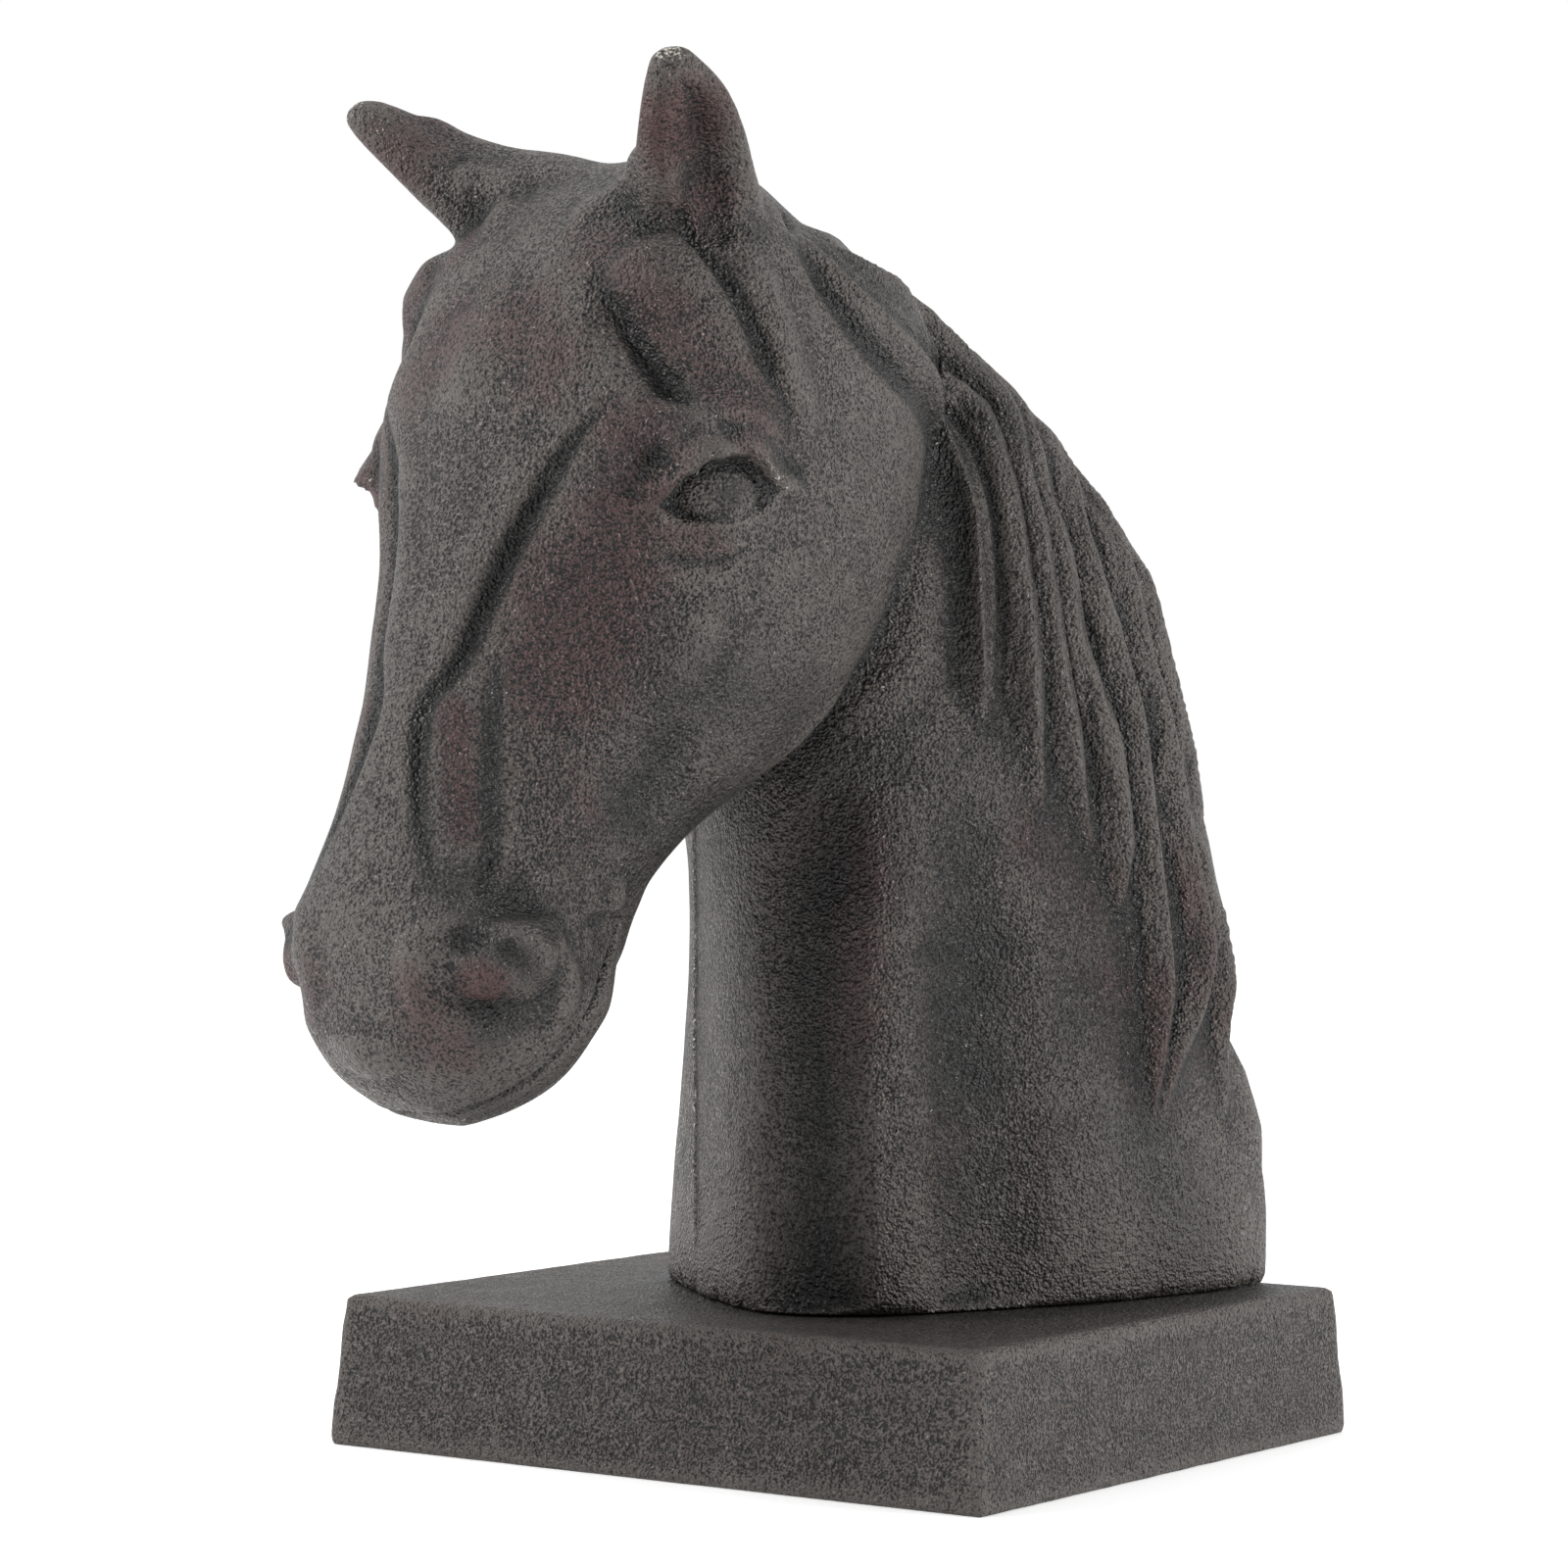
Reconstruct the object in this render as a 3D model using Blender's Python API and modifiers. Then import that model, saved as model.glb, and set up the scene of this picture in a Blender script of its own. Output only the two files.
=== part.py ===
# Cast iron horse bookend: a horse's head and neck on a square plinth, metres, +Z up.
# The origin is the centre of the plinth's underside, and the horse looks along -Y.
import math

import bmesh
import bpy
import numpy as np
from mathutils import Matrix, Vector
from mathutils.bvhtree import BVHTree

# Plinth
PLINTH_LENGTH = 0.1102
PLINTH_WIDTH = 0.1042
PLINTH_HEIGHT = 0.0215
PLINTH_DRAFT = 0.0016
PLINTH_CORNER = 0.0012
PLINTH_EDGE = 0.0014
PLINTH_FOOT = 0.0009

# Bust
BUST_HEIGHT = 0.1700
SEAT_GAP = 0.0003
NECK_TURN = math.radians(41.7)
HEAD_TURN = math.radians(-8.0)
HEAD_TILT = math.radians(20.0)
BUST_TRIANGLES = 9000

# The bust keeps its proportions as parts of its own height: its pattern is 170 units high,
# so that a unit is a millimetre at the real size, and it is drawn up from its seat.
PATTERN_HEIGHT = 170.0
UNIT = BUST_HEIGHT / PATTERN_HEIGHT

# How finely the pattern is built: its voxel, points round a section, sections to a station,
# steps round the neck's bend, and steps in a search along the neck
VOXEL = 1.1
RING_POINTS = 40
SECTION_STEPS = 3
BEND_STEPS = 12
SEARCH_STEPS = 120

# Colour and gloss of the iron
IRON_COLOUR = (0.045, 0.038, 0.035)
IRON_ROUGHNESS = 0.6
IRON_METALLIC = 0.6

# Where the throat meets the seat, and the poll that the head hangs from: x, y, height
THROAT_FOOT = (-16.3, -17.1, 0.0)
POLL = (-10.3, -49.1, 159.2)

# Neck: front r, height, back r, height, half width, share of depth at the widest, powers
NECK_STATIONS = (
    (0.0, -4.0, 88.5, -4.0, 34.0, 0.22, 3.2, 1.35),
    (0.5, 14.0, 87.8, 17.0, 33.0, 0.22, 3.0, 1.4),
    (1.5, 34.0, 80.2, 42.0, 31.0, 0.25, 2.9, 1.45),
    (1.8, 52.0, 74.4, 66.0, 29.7, 0.29, 2.8, 1.55),
    (0.4, 68.0, 70.2, 86.0, 28.5, 0.33, 2.6, 1.65),
    (-3.0, 82.0, 64.3, 104.0, 26.5, 0.38, 2.4, 1.75),
    (-8.0, 93.0, 53.4, 118.5, 24.0, 0.42, 2.2, 1.8),
    (-13.0, 103.0, 40.6, 132.5, 21.0, 0.45, 2.1, 1.8),
    (-19.0, 112.0, 27.0, 144.0, 18.5, 0.48, 2.0, 1.8),
    (-26.0, 120.0, 13.0, 151.5, 17.0, 0.5, 2.0, 1.9),
    (-34.0, 128.0, -6.0, 155.0, 15.0, 0.5, 2.0, 2.0),
)

# Where the neck bends from its own plane into the head's: r from and to, heights from and to
BEND_REACH = (32.0, 6.0)
BEND_HEIGHTS = (58.0, 108.0)

# Head: along, top, bottom, half width, share of depth at the widest, powers above and below
HEAD_STATIONS = (
    (-7.0, -13.0, -30.0, 9.0, 0.5, 2.0, 2.0),
    (-2.0, -3.5, -46.0, 18.0, 0.4, 2.0, 2.2),
    (8.0, 7.0, -58.0, 26.0, 0.38, 2.3, 2.6),
    (20.0, 12.5, -62.0, 30.0, 0.36, 2.6, 2.8),
    (35.0, 13.5, -62.0, 31.0, 0.34, 2.4, 3.0),
    (50.0, 11.8, -59.0, 30.5, 0.36, 2.1, 3.0),
    (62.0, 11.2, -53.5, 28.0, 0.46, 1.9, 3.0),
    (74.0, 11.0, -46.5, 24.5, 0.52, 1.9, 2.8),
    (86.0, 10.8, -38.5, 20.5, 0.56, 2.0, 2.5),
    (97.0, 10.2, -34.5, 18.5, 0.52, 2.1, 2.3),
    (107.0, 9.4, -34.0, 19.5, 0.4, 2.2, 2.2),
    (115.0, 8.0, -32.5, 22.0, 0.38, 2.3, 2.2),
    (124.0, 3.2, -28.5, 19.0, 0.44, 2.3, 2.2),
    (130.0, -3.0, -25.5, 14.0, 0.5, 2.2, 2.2),
    (133.5, -10.0, -22.0, 6.5, 0.5, 2.0, 2.0),
)

# Ears, in the head's own frame: side, forward, height over the poll, half width, half depth
EAR_STATIONS = (
    (15.0, -4.0, -18.0, 10.0, 8.0),
    (17.5, 0.0, -9.0, 9.6, 6.8),
    (21.7, 6.0, -1.5, 8.0, 5.4),
    (25.9, 12.0, 5.0, 6.1, 4.2),
    (29.0, 17.0, 9.5, 4.1, 3.0),
    (30.8, 19.8, 11.6, 2.2, 1.8),
)
EAR_FACING = (0.75, 0.45, -0.35)
EAR_HOLLOW = (5.0, -3.6)
EAR_BACK = -0.2
RIGHT_EAR_DROOP = 2.2
RIGHT_EAR_SPREAD = 3.0

# Web of skin from the poll up to each ear: side, forward, height over the poll, radius
EAR_WEB = (
    (0.0, -2.0, -9.0, 9.2),
    (9.0, -1.0, -8.4, 9.2),
    (16.0, 1.5, -6.4, 8.6),
    (21.5, 6.0, -2.6, 7.0),
    (25.0, 10.0, 1.6, 5.2),
)

# Carving on the head, both sides alike: reach, lift, points by along, lift and side
HEAD_CARVING = (
    ("nose crease", 3.4, -1.3, (38, 8, 21), (50, 9, 16.5), (62, 9, 13.5), (74, 9, 12), (86, 8, 11.5),
     (97, 6, 13)),
    ("nose edge", 3.4, 0.8, (48, 11, 12), (62, 11, 10), (76, 11, 8.5), (92, 10, 8)),
    ("side furrow", 4.0, -1.0, (82, 5, 13), (92, 2, 15), (103, 1, 17)),
    ("temple hollow", 6.0, -3.0, (27, 10, 18), (32, 6, 24), (37, 1, 28)),
    ("eye brow", 5.0, 3.2, (44, 2, 26), (39, -3, 29.5), (37, -10, 31), (38, -18, 31)),
    ("cheek bone", 4.0, 1.6, (8, 3, 23), (20, -3, 29), (28, -12, 31), (33, -22, 31), (36, -30, 31)),
    ("temple groove", 4.0, -1.2, (14, -6, 28), (24, -16, 31), (30, -27, 31)),
    ("eye socket", 8.5, -2.0, (48, -4, 29), (47, -9, 30.5), (45, -14, 31)),
    ("face crest", 5.0, 1.3, (58, -14, 29), (66, -14, 27), (75, -13, 24)),
    ("cheek hollow", 8.0, -1.6, (74, -20, 24), (84, -18, 21), (94, -14, 19)),
    ("nostril", 5.6, -3.6, (117, -1, 20), (121, -1, 19)),
    ("nostril wing", 4.0, 2.2, (121, 5, 12), (114, 6.5, 15), (110, 2, 20), (111, -5, 21.5), (117, -9, 21.5)),
    ("nostril lip", 3.6, 1.2, (124, 4, 12), (127, -1, 15), (125, -7, 18)),
    ("nostril hollow", 4.0, -1.2, (101, 3, 17), (103, -3, 19), (107, -10, 20)),
    ("mouth", 2.2, -1.9, (103, -24, 17), (109, -21, 19), (117, -18, 20), (125, -16, 17.5), (131, -16, 11),
     (134, -17, 0)),
    ("lower lip", 4.0, 0.9, (106, -29, 12), (115, -26, 15), (124, -23, 14)),
    ("chin groove", 4.0, -1.6, (97, -33, 0), (98, -31, 9), (99, -27, 15)),
    ("cheek rim", 4.0, 1.4, (80, -38, 18), (68, -49, 23), (56, -56, 25.5), (42, -57, 26), (28, -51, 26)),
    ("forehead", 9.0, 1.6, (22, 13, 0), (36, 14, 0), (48, 12, 0)),
    ("ear root", 5.0, 1.6, (6, 6, 19), (14, 4, 25), (22, -3, 29)),
)

# Carving on the neck, both sides alike: reach, lift, points by r and height
NECK_CARVING = (
    ("throat groove", 9.0, -1.8, (10, 76), (9, 50), (8, 24), (9, 0)),
    ("neck muscle", 10.0, 1.4, (24, 74), (23, 48), (22, 24), (22, 0)),
    ("throat ridge", 2.0, 0.8, (0.5, 70), (0.5, 46), (0, 24), (0, 0)),
)

# Eyes: place by along, lift and side, radius of the ball
EYE_PLACE = (47.5, -9.0, 25.2)
EYE_RADIUS = 6.9
EYE_CARVING = (
    ("upper lid", 2.4, 1.9, (53, -1, 27), (47, -3, 29.5), (42.5, -6, 31.5), (40.5, -11, 32.5), (42, -18, 32)),
    ("lid fold", 2.2, -1.2, (50, 2, 27), (43.5, 0, 29), (38.5, -5, 31.5), (37, -12, 32)),
    ("lower lid", 2.2, 1.3, (53.5, -2, 27), (54, -7, 29), (51.5, -12, 31), (46, -17, 32)),
    ("eye bag", 2.2, -1.0, (57, -3, 26), (57.5, -8, 28.5), (55, -14, 30)),
)

# Mane: strands from the crest to their tips on the neck's side, by r and height
STRAND_REACH = 6.0
STRAND_LIFT = 3.8
STRAND_TAPER = 0.12
MANE_STRANDS = (
    ((4, 158), (16, 150), (27, 132), (33, 116), (36, 100), (36, 84)),
    ((18, 153), (28, 141), (36, 127), (40, 111), (41, 94), (41, 74)),
    ((28, 147), (37, 134), (44, 118), (47, 101), (48, 84), (49, 66)),
    ((37, 139), (46, 126), (51, 111), (54, 93), (56, 74), (56, 56)),
    ((46, 131), (54, 117), (59, 102), (61, 86), (62, 66), (63, 44)),
    ((54, 122), (61, 109), (66, 94), (68, 76), (69, 54), (68, 27)),
    ((62, 113), (69, 99), (73, 82), (75, 63), (76, 43), (75, 21)),
    ((70, 102), (75, 87), (78, 68), (80, 50), (80, 35), (79, 24)),
)


def clear_scene():
    for item in list(bpy.data.objects):
        bpy.data.objects.remove(item)


def new_collection(name):
    group = bpy.data.collections.new(name)
    bpy.context.scene.collection.children.link(group)
    return group


def iron(name):
    material = bpy.data.materials.new(name)
    material.use_nodes = True
    shader = material.node_tree.nodes["Principled BSDF"]
    shader.inputs["Base Color"].default_value = (*IRON_COLOUR, 1.0)
    shader.inputs["Roughness"].default_value = IRON_ROUGHNESS
    shader.inputs["Metallic"].default_value = IRON_METALLIC
    return material


def spline(rows, t):
    """Row at t along a smooth curve through the rows."""
    rows = np.asarray(rows, float)
    last = len(rows) - 1
    t = min(max(t, 0.0), float(last))
    i = min(int(t), last - 1)
    f = t - i
    p1 = rows[i]
    p2 = rows[i + 1]
    p0 = rows[i - 1] if i > 0 else 2.0 * p1 - p2
    p3 = rows[i + 2] if i + 2 <= last else 2.0 * p2 - p1
    return 0.5 * (2.0 * p1 + (p2 - p0) * f + (2.0 * p0 - 5.0 * p1 + 4.0 * p2 - p3) * f ** 2
                  + (3.0 * p1 - p0 - 3.0 * p2 + p3) * f ** 3)


def ring(half, wide_at, power_near, power_far):
    """Closed section of unit depth: (side, share of the depth), widest at wide_at."""
    points = []
    for k in range(RING_POINTS):
        turn = 2.0 * math.pi * k / RING_POINTS
        sine = math.sin(turn)
        cosine = math.cos(turn)
        power = power_near if cosine >= 0.0 else power_far
        reach = wide_at if cosine >= 0.0 else 1.0 - wide_at
        side = math.copysign(abs(sine) ** (2.0 / power), sine) * half
        share = wide_at - math.copysign(abs(cosine) ** (2.0 / power), cosine) * reach
        points.append((side, share))
    return points


def loft(rings):
    """Closed mesh data through rings of equal count."""
    form = bmesh.new()
    loops = [[form.verts.new(point) for point in points] for points in rings]
    for low, high in zip(loops, loops[1:]):
        for k in range(len(low)):
            j = (k + 1) % len(low)
            form.faces.new((low[k], low[j], high[j], high[k]))
    form.faces.new(list(reversed(loops[0])))
    form.faces.new(loops[-1])
    bmesh.ops.recalc_face_normals(form, faces=form.faces)
    return form


def ease(low, high, value):
    """Smooth step from 0 at low to 1 at high."""
    share = min(max((value - low) / (high - low), 0.0), 1.0)
    return share * share * (3.0 - 2.0 * share)


def straight_path(r):
    """Plan place r behind the throat's foot, straight along the neck's own plane."""
    return THROAT_FOOT[0] + r * math.sin(NECK_TURN), THROAT_FOOT[1] + r * math.cos(NECK_TURN)


def bent_path(r):
    """Plan place and heading r behind the throat's foot, with the head's turn in it."""
    far, near = BEND_REACH
    if r >= far:
        return (*straight_path(r), NECK_TURN)
    x, y = straight_path(far)
    run = (far - max(r, near)) / BEND_STEPS
    heading = NECK_TURN
    for k in range(BEND_STEPS):
        share = (k + 0.5) * run / (far - near)
        heading = NECK_TURN - (HEAD_TURN + NECK_TURN) * share
        x -= run * math.sin(heading)
        y -= run * math.cos(heading)
    if r < near:
        heading = -HEAD_TURN
        x -= (near - r) * math.sin(heading)
        y -= (near - r) * math.cos(heading)
    return x, y, heading


def neck_point(r, height, side):
    """Pattern point r behind the throat's foot, bent towards the head as it rises."""
    share = ease(*BEND_HEIGHTS, height)
    plain_x, plain_y = straight_path(r)
    x, y, heading = bent_path(r)
    x = plain_x + share * (x - plain_x)
    y = plain_y + share * (y - plain_y)
    heading = NECK_TURN + share * (heading - NECK_TURN)
    return Vector((x + side * math.cos(heading), y - side * math.sin(heading), THROAT_FOOT[2] + height))


def head_place(side, forward, height):
    """Pattern point in the head's frame: side, forward of the poll, height over it."""
    facing = (math.sin(HEAD_TURN), -math.cos(HEAD_TURN))
    left = (math.cos(HEAD_TURN), math.sin(HEAD_TURN))
    return Vector((POLL[0] + forward * facing[0] + side * left[0],
                   POLL[1] + forward * facing[1] + side * left[1],
                   POLL[2] + height))


def head_point(along, lift, side):
    """Pattern point by the head's length from the poll and the height over its axis."""
    forward = along * math.sin(HEAD_TILT) + lift * math.cos(HEAD_TILT)
    height = lift * math.sin(HEAD_TILT) - along * math.cos(HEAD_TILT)
    return head_place(side, forward, height)


def section_places(stations):
    """Places along the stations, SECTION_STEPS to each gap between two of them."""
    count = SECTION_STEPS * (len(stations) - 1)
    return [k / SECTION_STEPS for k in range(count + 1)]


def neck_form():
    rings = []
    for t in section_places(NECK_STATIONS):
        front_r, front_z, back_r, back_z, half, wide_at, near, far = spline(NECK_STATIONS, t)
        points = []
        for side, share in ring(half, wide_at, near, far):
            r = front_r + (back_r - front_r) * share
            height = front_z + (back_z - front_z) * share
            points.append(neck_point(r, height, side))
        rings.append(points)
    return loft(rings)


def head_form():
    rings = []
    for t in section_places(HEAD_STATIONS):
        along, top, bottom, half, wide_at, near, far = spline(HEAD_STATIONS, t)
        points = []
        for side, share in ring(half, wide_at, near, far):
            points.append(head_point(along, top + (bottom - top) * share, side))
        rings.append(points)
    return loft(rings)


def ear_frame(hand):
    """The ear's stations as places, with the directions across it and out of its hollow."""
    stations = []
    last = len(EAR_STATIONS) - 1
    for k, (side, forward, height, half, depth) in enumerate(EAR_STATIONS):
        share = k / last if hand < 0.0 else 0.0
        spread = RIGHT_EAR_SPREAD * share
        droop = RIGHT_EAR_DROOP * share ** 2
        stations.append((head_place(hand * (side + spread), forward, height - droop), half, depth))
    axis = (stations[-1][0] - stations[0][0]).normalized()
    facing = head_place(hand * EAR_FACING[0], EAR_FACING[1], EAR_FACING[2]) - head_place(0, 0, 0)
    facing = (facing - axis * facing.dot(axis)).normalized()
    return stations, axis.cross(facing), facing


def ear_form(hand):
    stations, across, facing = ear_frame(hand)
    rows = [(*centre, half, depth) for centre, half, depth in stations]
    rings = []
    for t in section_places(rows):
        x, y, z, half, depth = spline(rows, t)
        points = []
        for wide, share in ring(half, 0.5, 2.0, 2.0):
            points.append(Vector((x, y, z)) + across * wide + facing * depth * (1.0 - 2.0 * share))
        rings.append(points)
    return loft(rings)


def web_form():
    """A rounded bar over the poll from one ear to the other."""
    rows = [(-side, forward, height, radius) for side, forward, height, radius in reversed(EAR_WEB[1:])]
    rows += EAR_WEB
    rings = []
    for t in section_places(rows):
        side, forward, height, radius = spline(rows, t)
        points = []
        for wide, share in ring(radius, 0.5, 2.0, 2.0):
            points.append(head_place(side, forward + wide, height + radius * (1.0 - 2.0 * share)))
        rings.append(points)
    return loft(rings)


def mesh_object(name, form, group):
    mesh = bpy.data.meshes.new(name)
    form.to_mesh(mesh)
    form.free()
    item = bpy.data.objects.new(name, mesh)
    group.objects.link(item)
    return item


def evaluated_mesh(item):
    bpy.context.view_layer.update()
    depsgraph = bpy.context.evaluated_depsgraph_get()
    return bpy.data.meshes.new_from_object(item.evaluated_get(depsgraph))


def bake(item):
    """Applies the object's modifiers to its mesh."""
    mesh = evaluated_mesh(item)
    item.modifiers.clear()
    old = item.data
    item.data = mesh
    bpy.data.meshes.remove(old)


def neck_surface(r, height, hand):
    """Point of the plain neck form at r and height, on the side that hand names."""
    best = None
    for k in range(SEARCH_STEPS + 1):
        t = (len(NECK_STATIONS) - 1) * k / SEARCH_STEPS
        front_r, front_z, back_r, back_z, half, wide_at, near, far = spline(NECK_STATIONS, t)
        share = (r - front_r) / (back_r - front_r)
        miss = abs(front_z + (back_z - front_z) * share - height)
        if best is None or miss < best[0]:
            if share < wide_at:
                across = abs((wide_at - share) / wide_at)
                power = near
            else:
                across = abs((share - wide_at) / (1.0 - wide_at))
                power = far
            side = half * max(1.0 - across ** power, 0.0) ** (1.0 / power)
            best = (miss, side)
    return neck_point(r, height, hand * best[1])


def dense_path(points, spacing=0.8):
    """Points at even spacing along a smooth curve through a few."""
    if len(points) == 1:
        return np.array([points[0]], float)
    length = sum(math.dist(one, two) for one, two in zip(points, points[1:]))
    count = max(int(length / spacing), 2)
    return np.array([spline(points, (len(points) - 1) * k / count) for k in range(count + 1)])


def relief(places, path, reach, taper=0.3):
    """Share of a stroke's lift at each place: 1 on the path, 0 at its reach and at its ends."""
    low = path.min(axis=0) - reach
    high = path.max(axis=0) + reach
    near = np.where(np.all((places > low) & (places < high), axis=1))[0]
    share = np.zeros(len(places))
    if not len(near):
        return share
    gaps = np.linalg.norm(places[near, None, :] - path[None, :, :], axis=2)
    nearest = gaps.argmin(axis=1)
    gap = gaps[np.arange(len(near)), nearest] / reach
    bump = np.where(gap < 1.0, (1.0 - gap ** 2) ** 2, 0.0)
    if len(path) > 1:
        run = nearest / (len(path) - 1)
        ends = np.minimum(run, 1.0 - run) / taper
        bump *= 0.25 + 0.75 * np.clip(ends, 0.0, 1.0)
    share[near] = bump
    return share


def snapped(points, tree):
    return [tree.find_nearest(Vector(point))[0] for point in points]


def mesh_arrays(mesh):
    places = np.empty(len(mesh.vertices) * 3)
    mesh.vertices.foreach_get("co", places)
    normals = np.empty(len(mesh.vertices) * 3)
    mesh.vertex_normals.foreach_get("vector", normals)
    return places.reshape(-1, 3), normals.reshape(-1, 3)


def move_verts(mesh, places):
    mesh.vertices.foreach_set("co", places.ravel())
    mesh.update()


def surface_tree(mesh):
    form = bmesh.new()
    form.from_mesh(mesh)
    tree = BVHTree.FromBMesh(form)
    form.free()
    return tree


def carve_head(mesh, strokes):
    tree = surface_tree(mesh)
    for _, reach, lift, *points in strokes:
        places, normals = mesh_arrays(mesh)
        share = np.zeros(len(places))
        for hand in (1.0, -1.0):
            path = [head_point(along, up, hand * side) for along, up, side in points]
            path = dense_path(snapped(path, tree))
            share = np.maximum(share, relief(places, path, reach))
        move_verts(mesh, places + normals * (lift * share)[:, None])


def swell_eyes(mesh):
    """Pushes the skin over each eyeball out to the ball."""
    along, up, side = EYE_PLACE
    places, normals = mesh_arrays(mesh)
    for hand in (1.0, -1.0):
        centre = np.array(head_point(along, up, hand * side))
        away = places - centre
        gap = np.linalg.norm(away, axis=1)
        inside = gap < EYE_RADIUS
        outward = np.einsum("ij,ij->i", away, normals) > 0.0
        chosen = inside & outward
        places[chosen] = centre + away[chosen] * (EYE_RADIUS / gap[chosen])[:, None]
    move_verts(mesh, places)


def carve_neck(mesh):
    tree = surface_tree(mesh)
    for _, reach, lift, *points in NECK_CARVING:
        places, normals = mesh_arrays(mesh)
        share = np.zeros(len(places))
        for hand in (1.0, -1.0):
            path = [neck_surface(r, height, hand) for r, height in points]
            path = dense_path(snapped(path, tree))
            share = np.maximum(share, relief(places, path, reach))
        move_verts(mesh, places + normals * (lift * share)[:, None])


def hollow_ears(mesh):
    """Dents the front of each ear along its length."""
    reach, lift = EAR_HOLLOW
    places, normals = mesh_arrays(mesh)
    share = np.zeros(len(places))
    for hand in (1.0, -1.0):
        stations, across, facing = ear_frame(hand)
        path = [centre + facing * depth for centre, half, depth in stations[1:-1]]
        dent = relief(places, dense_path(path), reach)
        dent[normals @ np.array(facing) < EAR_BACK] = 0.0
        share = np.maximum(share, dent)
    move_verts(mesh, places + normals * (lift * share)[:, None])


def carve_mane(mesh):
    places, normals = mesh_arrays(mesh)
    tree = surface_tree(mesh)
    share = np.zeros(len(places))
    for hand in (1.0, -1.0):
        for strand in MANE_STRANDS:
            path = [neck_surface(r, height, hand) for r, height in strand]
            path = dense_path(snapped(path, tree))
            share = np.maximum(share, relief(places, path, STRAND_REACH, STRAND_TAPER))
    move_verts(mesh, places + normals * (STRAND_LIFT * share)[:, None])


def soften(mesh, rounds, strength=0.5):
    """Evens the surface out by moving each vertex towards its neighbours."""
    edges = np.empty(len(mesh.edges) * 2, dtype=np.int32)
    mesh.edges.foreach_get("vertices", edges)
    edges = edges.reshape(-1, 2)
    places, normals = mesh_arrays(mesh)
    count = np.bincount(edges.ravel(), minlength=len(places))[:, None]
    for k in range(rounds):
        total = np.zeros_like(places)
        for axis in range(3):
            total[:, axis] = (np.bincount(edges[:, 0], places[edges[:, 1], axis], len(places))
                              + np.bincount(edges[:, 1], places[edges[:, 0], axis], len(places)))
        places = places + (total / count - places) * strength
    move_verts(mesh, places)


def flat_seat(item):
    """Cuts the bust off flat at its seat and closes the cut."""
    form = bmesh.new()
    form.from_mesh(item.data)
    geometry = form.verts[:] + form.edges[:] + form.faces[:]
    cut = bmesh.ops.bisect_plane(
        form, geom=geometry, plane_co=(0, 0, 0), plane_no=(0, 0, -1), clear_outer=True)
    rim = [edge for edge in cut["geom_cut"] if isinstance(edge, bmesh.types.BMEdge)]
    bmesh.ops.edgenet_fill(form, edges=rim)
    bmesh.ops.triangulate(form, faces=form.faces)
    bmesh.ops.recalc_face_normals(form, faces=form.faces)
    form.to_mesh(item.data)
    form.free()


def make_bust(group):
    form = bmesh.new()
    for piece in (neck_form(), head_form(), ear_form(1.0), ear_form(-1.0), web_form()):
        mesh = bpy.data.meshes.new("piece")
        piece.to_mesh(mesh)
        piece.free()
        form.from_mesh(mesh)
        bpy.data.meshes.remove(mesh)
    bust = mesh_object("horse_bust", form, group)
    remesh = bust.modifiers.new("one_casting", "REMESH")
    remesh.mode = "VOXEL"
    remesh.voxel_size = VOXEL
    bake(bust)
    soften(bust.data, 4)
    carve_head(bust.data, HEAD_CARVING)
    hollow_ears(bust.data)
    carve_neck(bust.data)
    swell_eyes(bust.data)
    carve_head(bust.data, EYE_CARVING)
    carve_mane(bust.data)
    soften(bust.data, 1)
    decimate = bust.modifiers.new("fewer_faces", "DECIMATE")
    decimate.ratio = BUST_TRIANGLES / (2.0 * len(bust.data.polygons))
    bake(bust)
    flat_seat(bust)
    bust.data.transform(Matrix.Diagonal((UNIT, UNIT, UNIT, 1.0)))
    bust.data.transform(Matrix.Translation((0.0, 0.0, PLINTH_HEIGHT + SEAT_GAP)))
    bust.data.materials.append(iron("bust_iron"))
    return bust


def round_edges(form, edges, width, segments):
    bmesh.ops.bevel(
        form, geom=edges, offset=width, offset_type="OFFSET", segments=segments, profile=0.5,
        affect="EDGES")


def make_plinth(group):
    """Drafted slab with rounded corners and top edges and a small chamfer at its foot."""
    form = bmesh.new()
    bmesh.ops.create_cube(form, size=1.0)
    for vert in form.verts:
        inset = PLINTH_DRAFT if vert.co.z > 0.0 else 0.0
        x = math.copysign(PLINTH_LENGTH / 2.0 - inset, vert.co.x)
        y = math.copysign(PLINTH_WIDTH / 2.0 - inset, vert.co.y)
        vert.co = (x, y, PLINTH_HEIGHT if vert.co.z > 0.0 else 0.0)
    uprights = [edge for edge in form.edges if edge.verts[0].co.z != edge.verts[1].co.z]
    round_edges(form, uprights, PLINTH_CORNER, 4)
    for height, width, segments in ((PLINTH_HEIGHT, PLINTH_EDGE, 4), (0.0, PLINTH_FOOT, 2)):
        rim = [edge for edge in form.edges if all(abs(vert.co.z - height) < 1e-6 for vert in edge.verts)]
        round_edges(form, rim, width, segments)
    bmesh.ops.recalc_face_normals(form, faces=form.faces)
    plinth = mesh_object("plinth", form, group)
    plinth.data.materials.append(iron("plinth_iron"))
    return plinth


def main():
    clear_scene()
    group = new_collection("horse_bookend")
    make_bust(group)
    make_plinth(group)


main()
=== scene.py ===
import math

import bmesh
import bpy
import numpy as np
from mathutils import Matrix, Vector, noise
from mathutils.bvhtree import BVHTree


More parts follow.
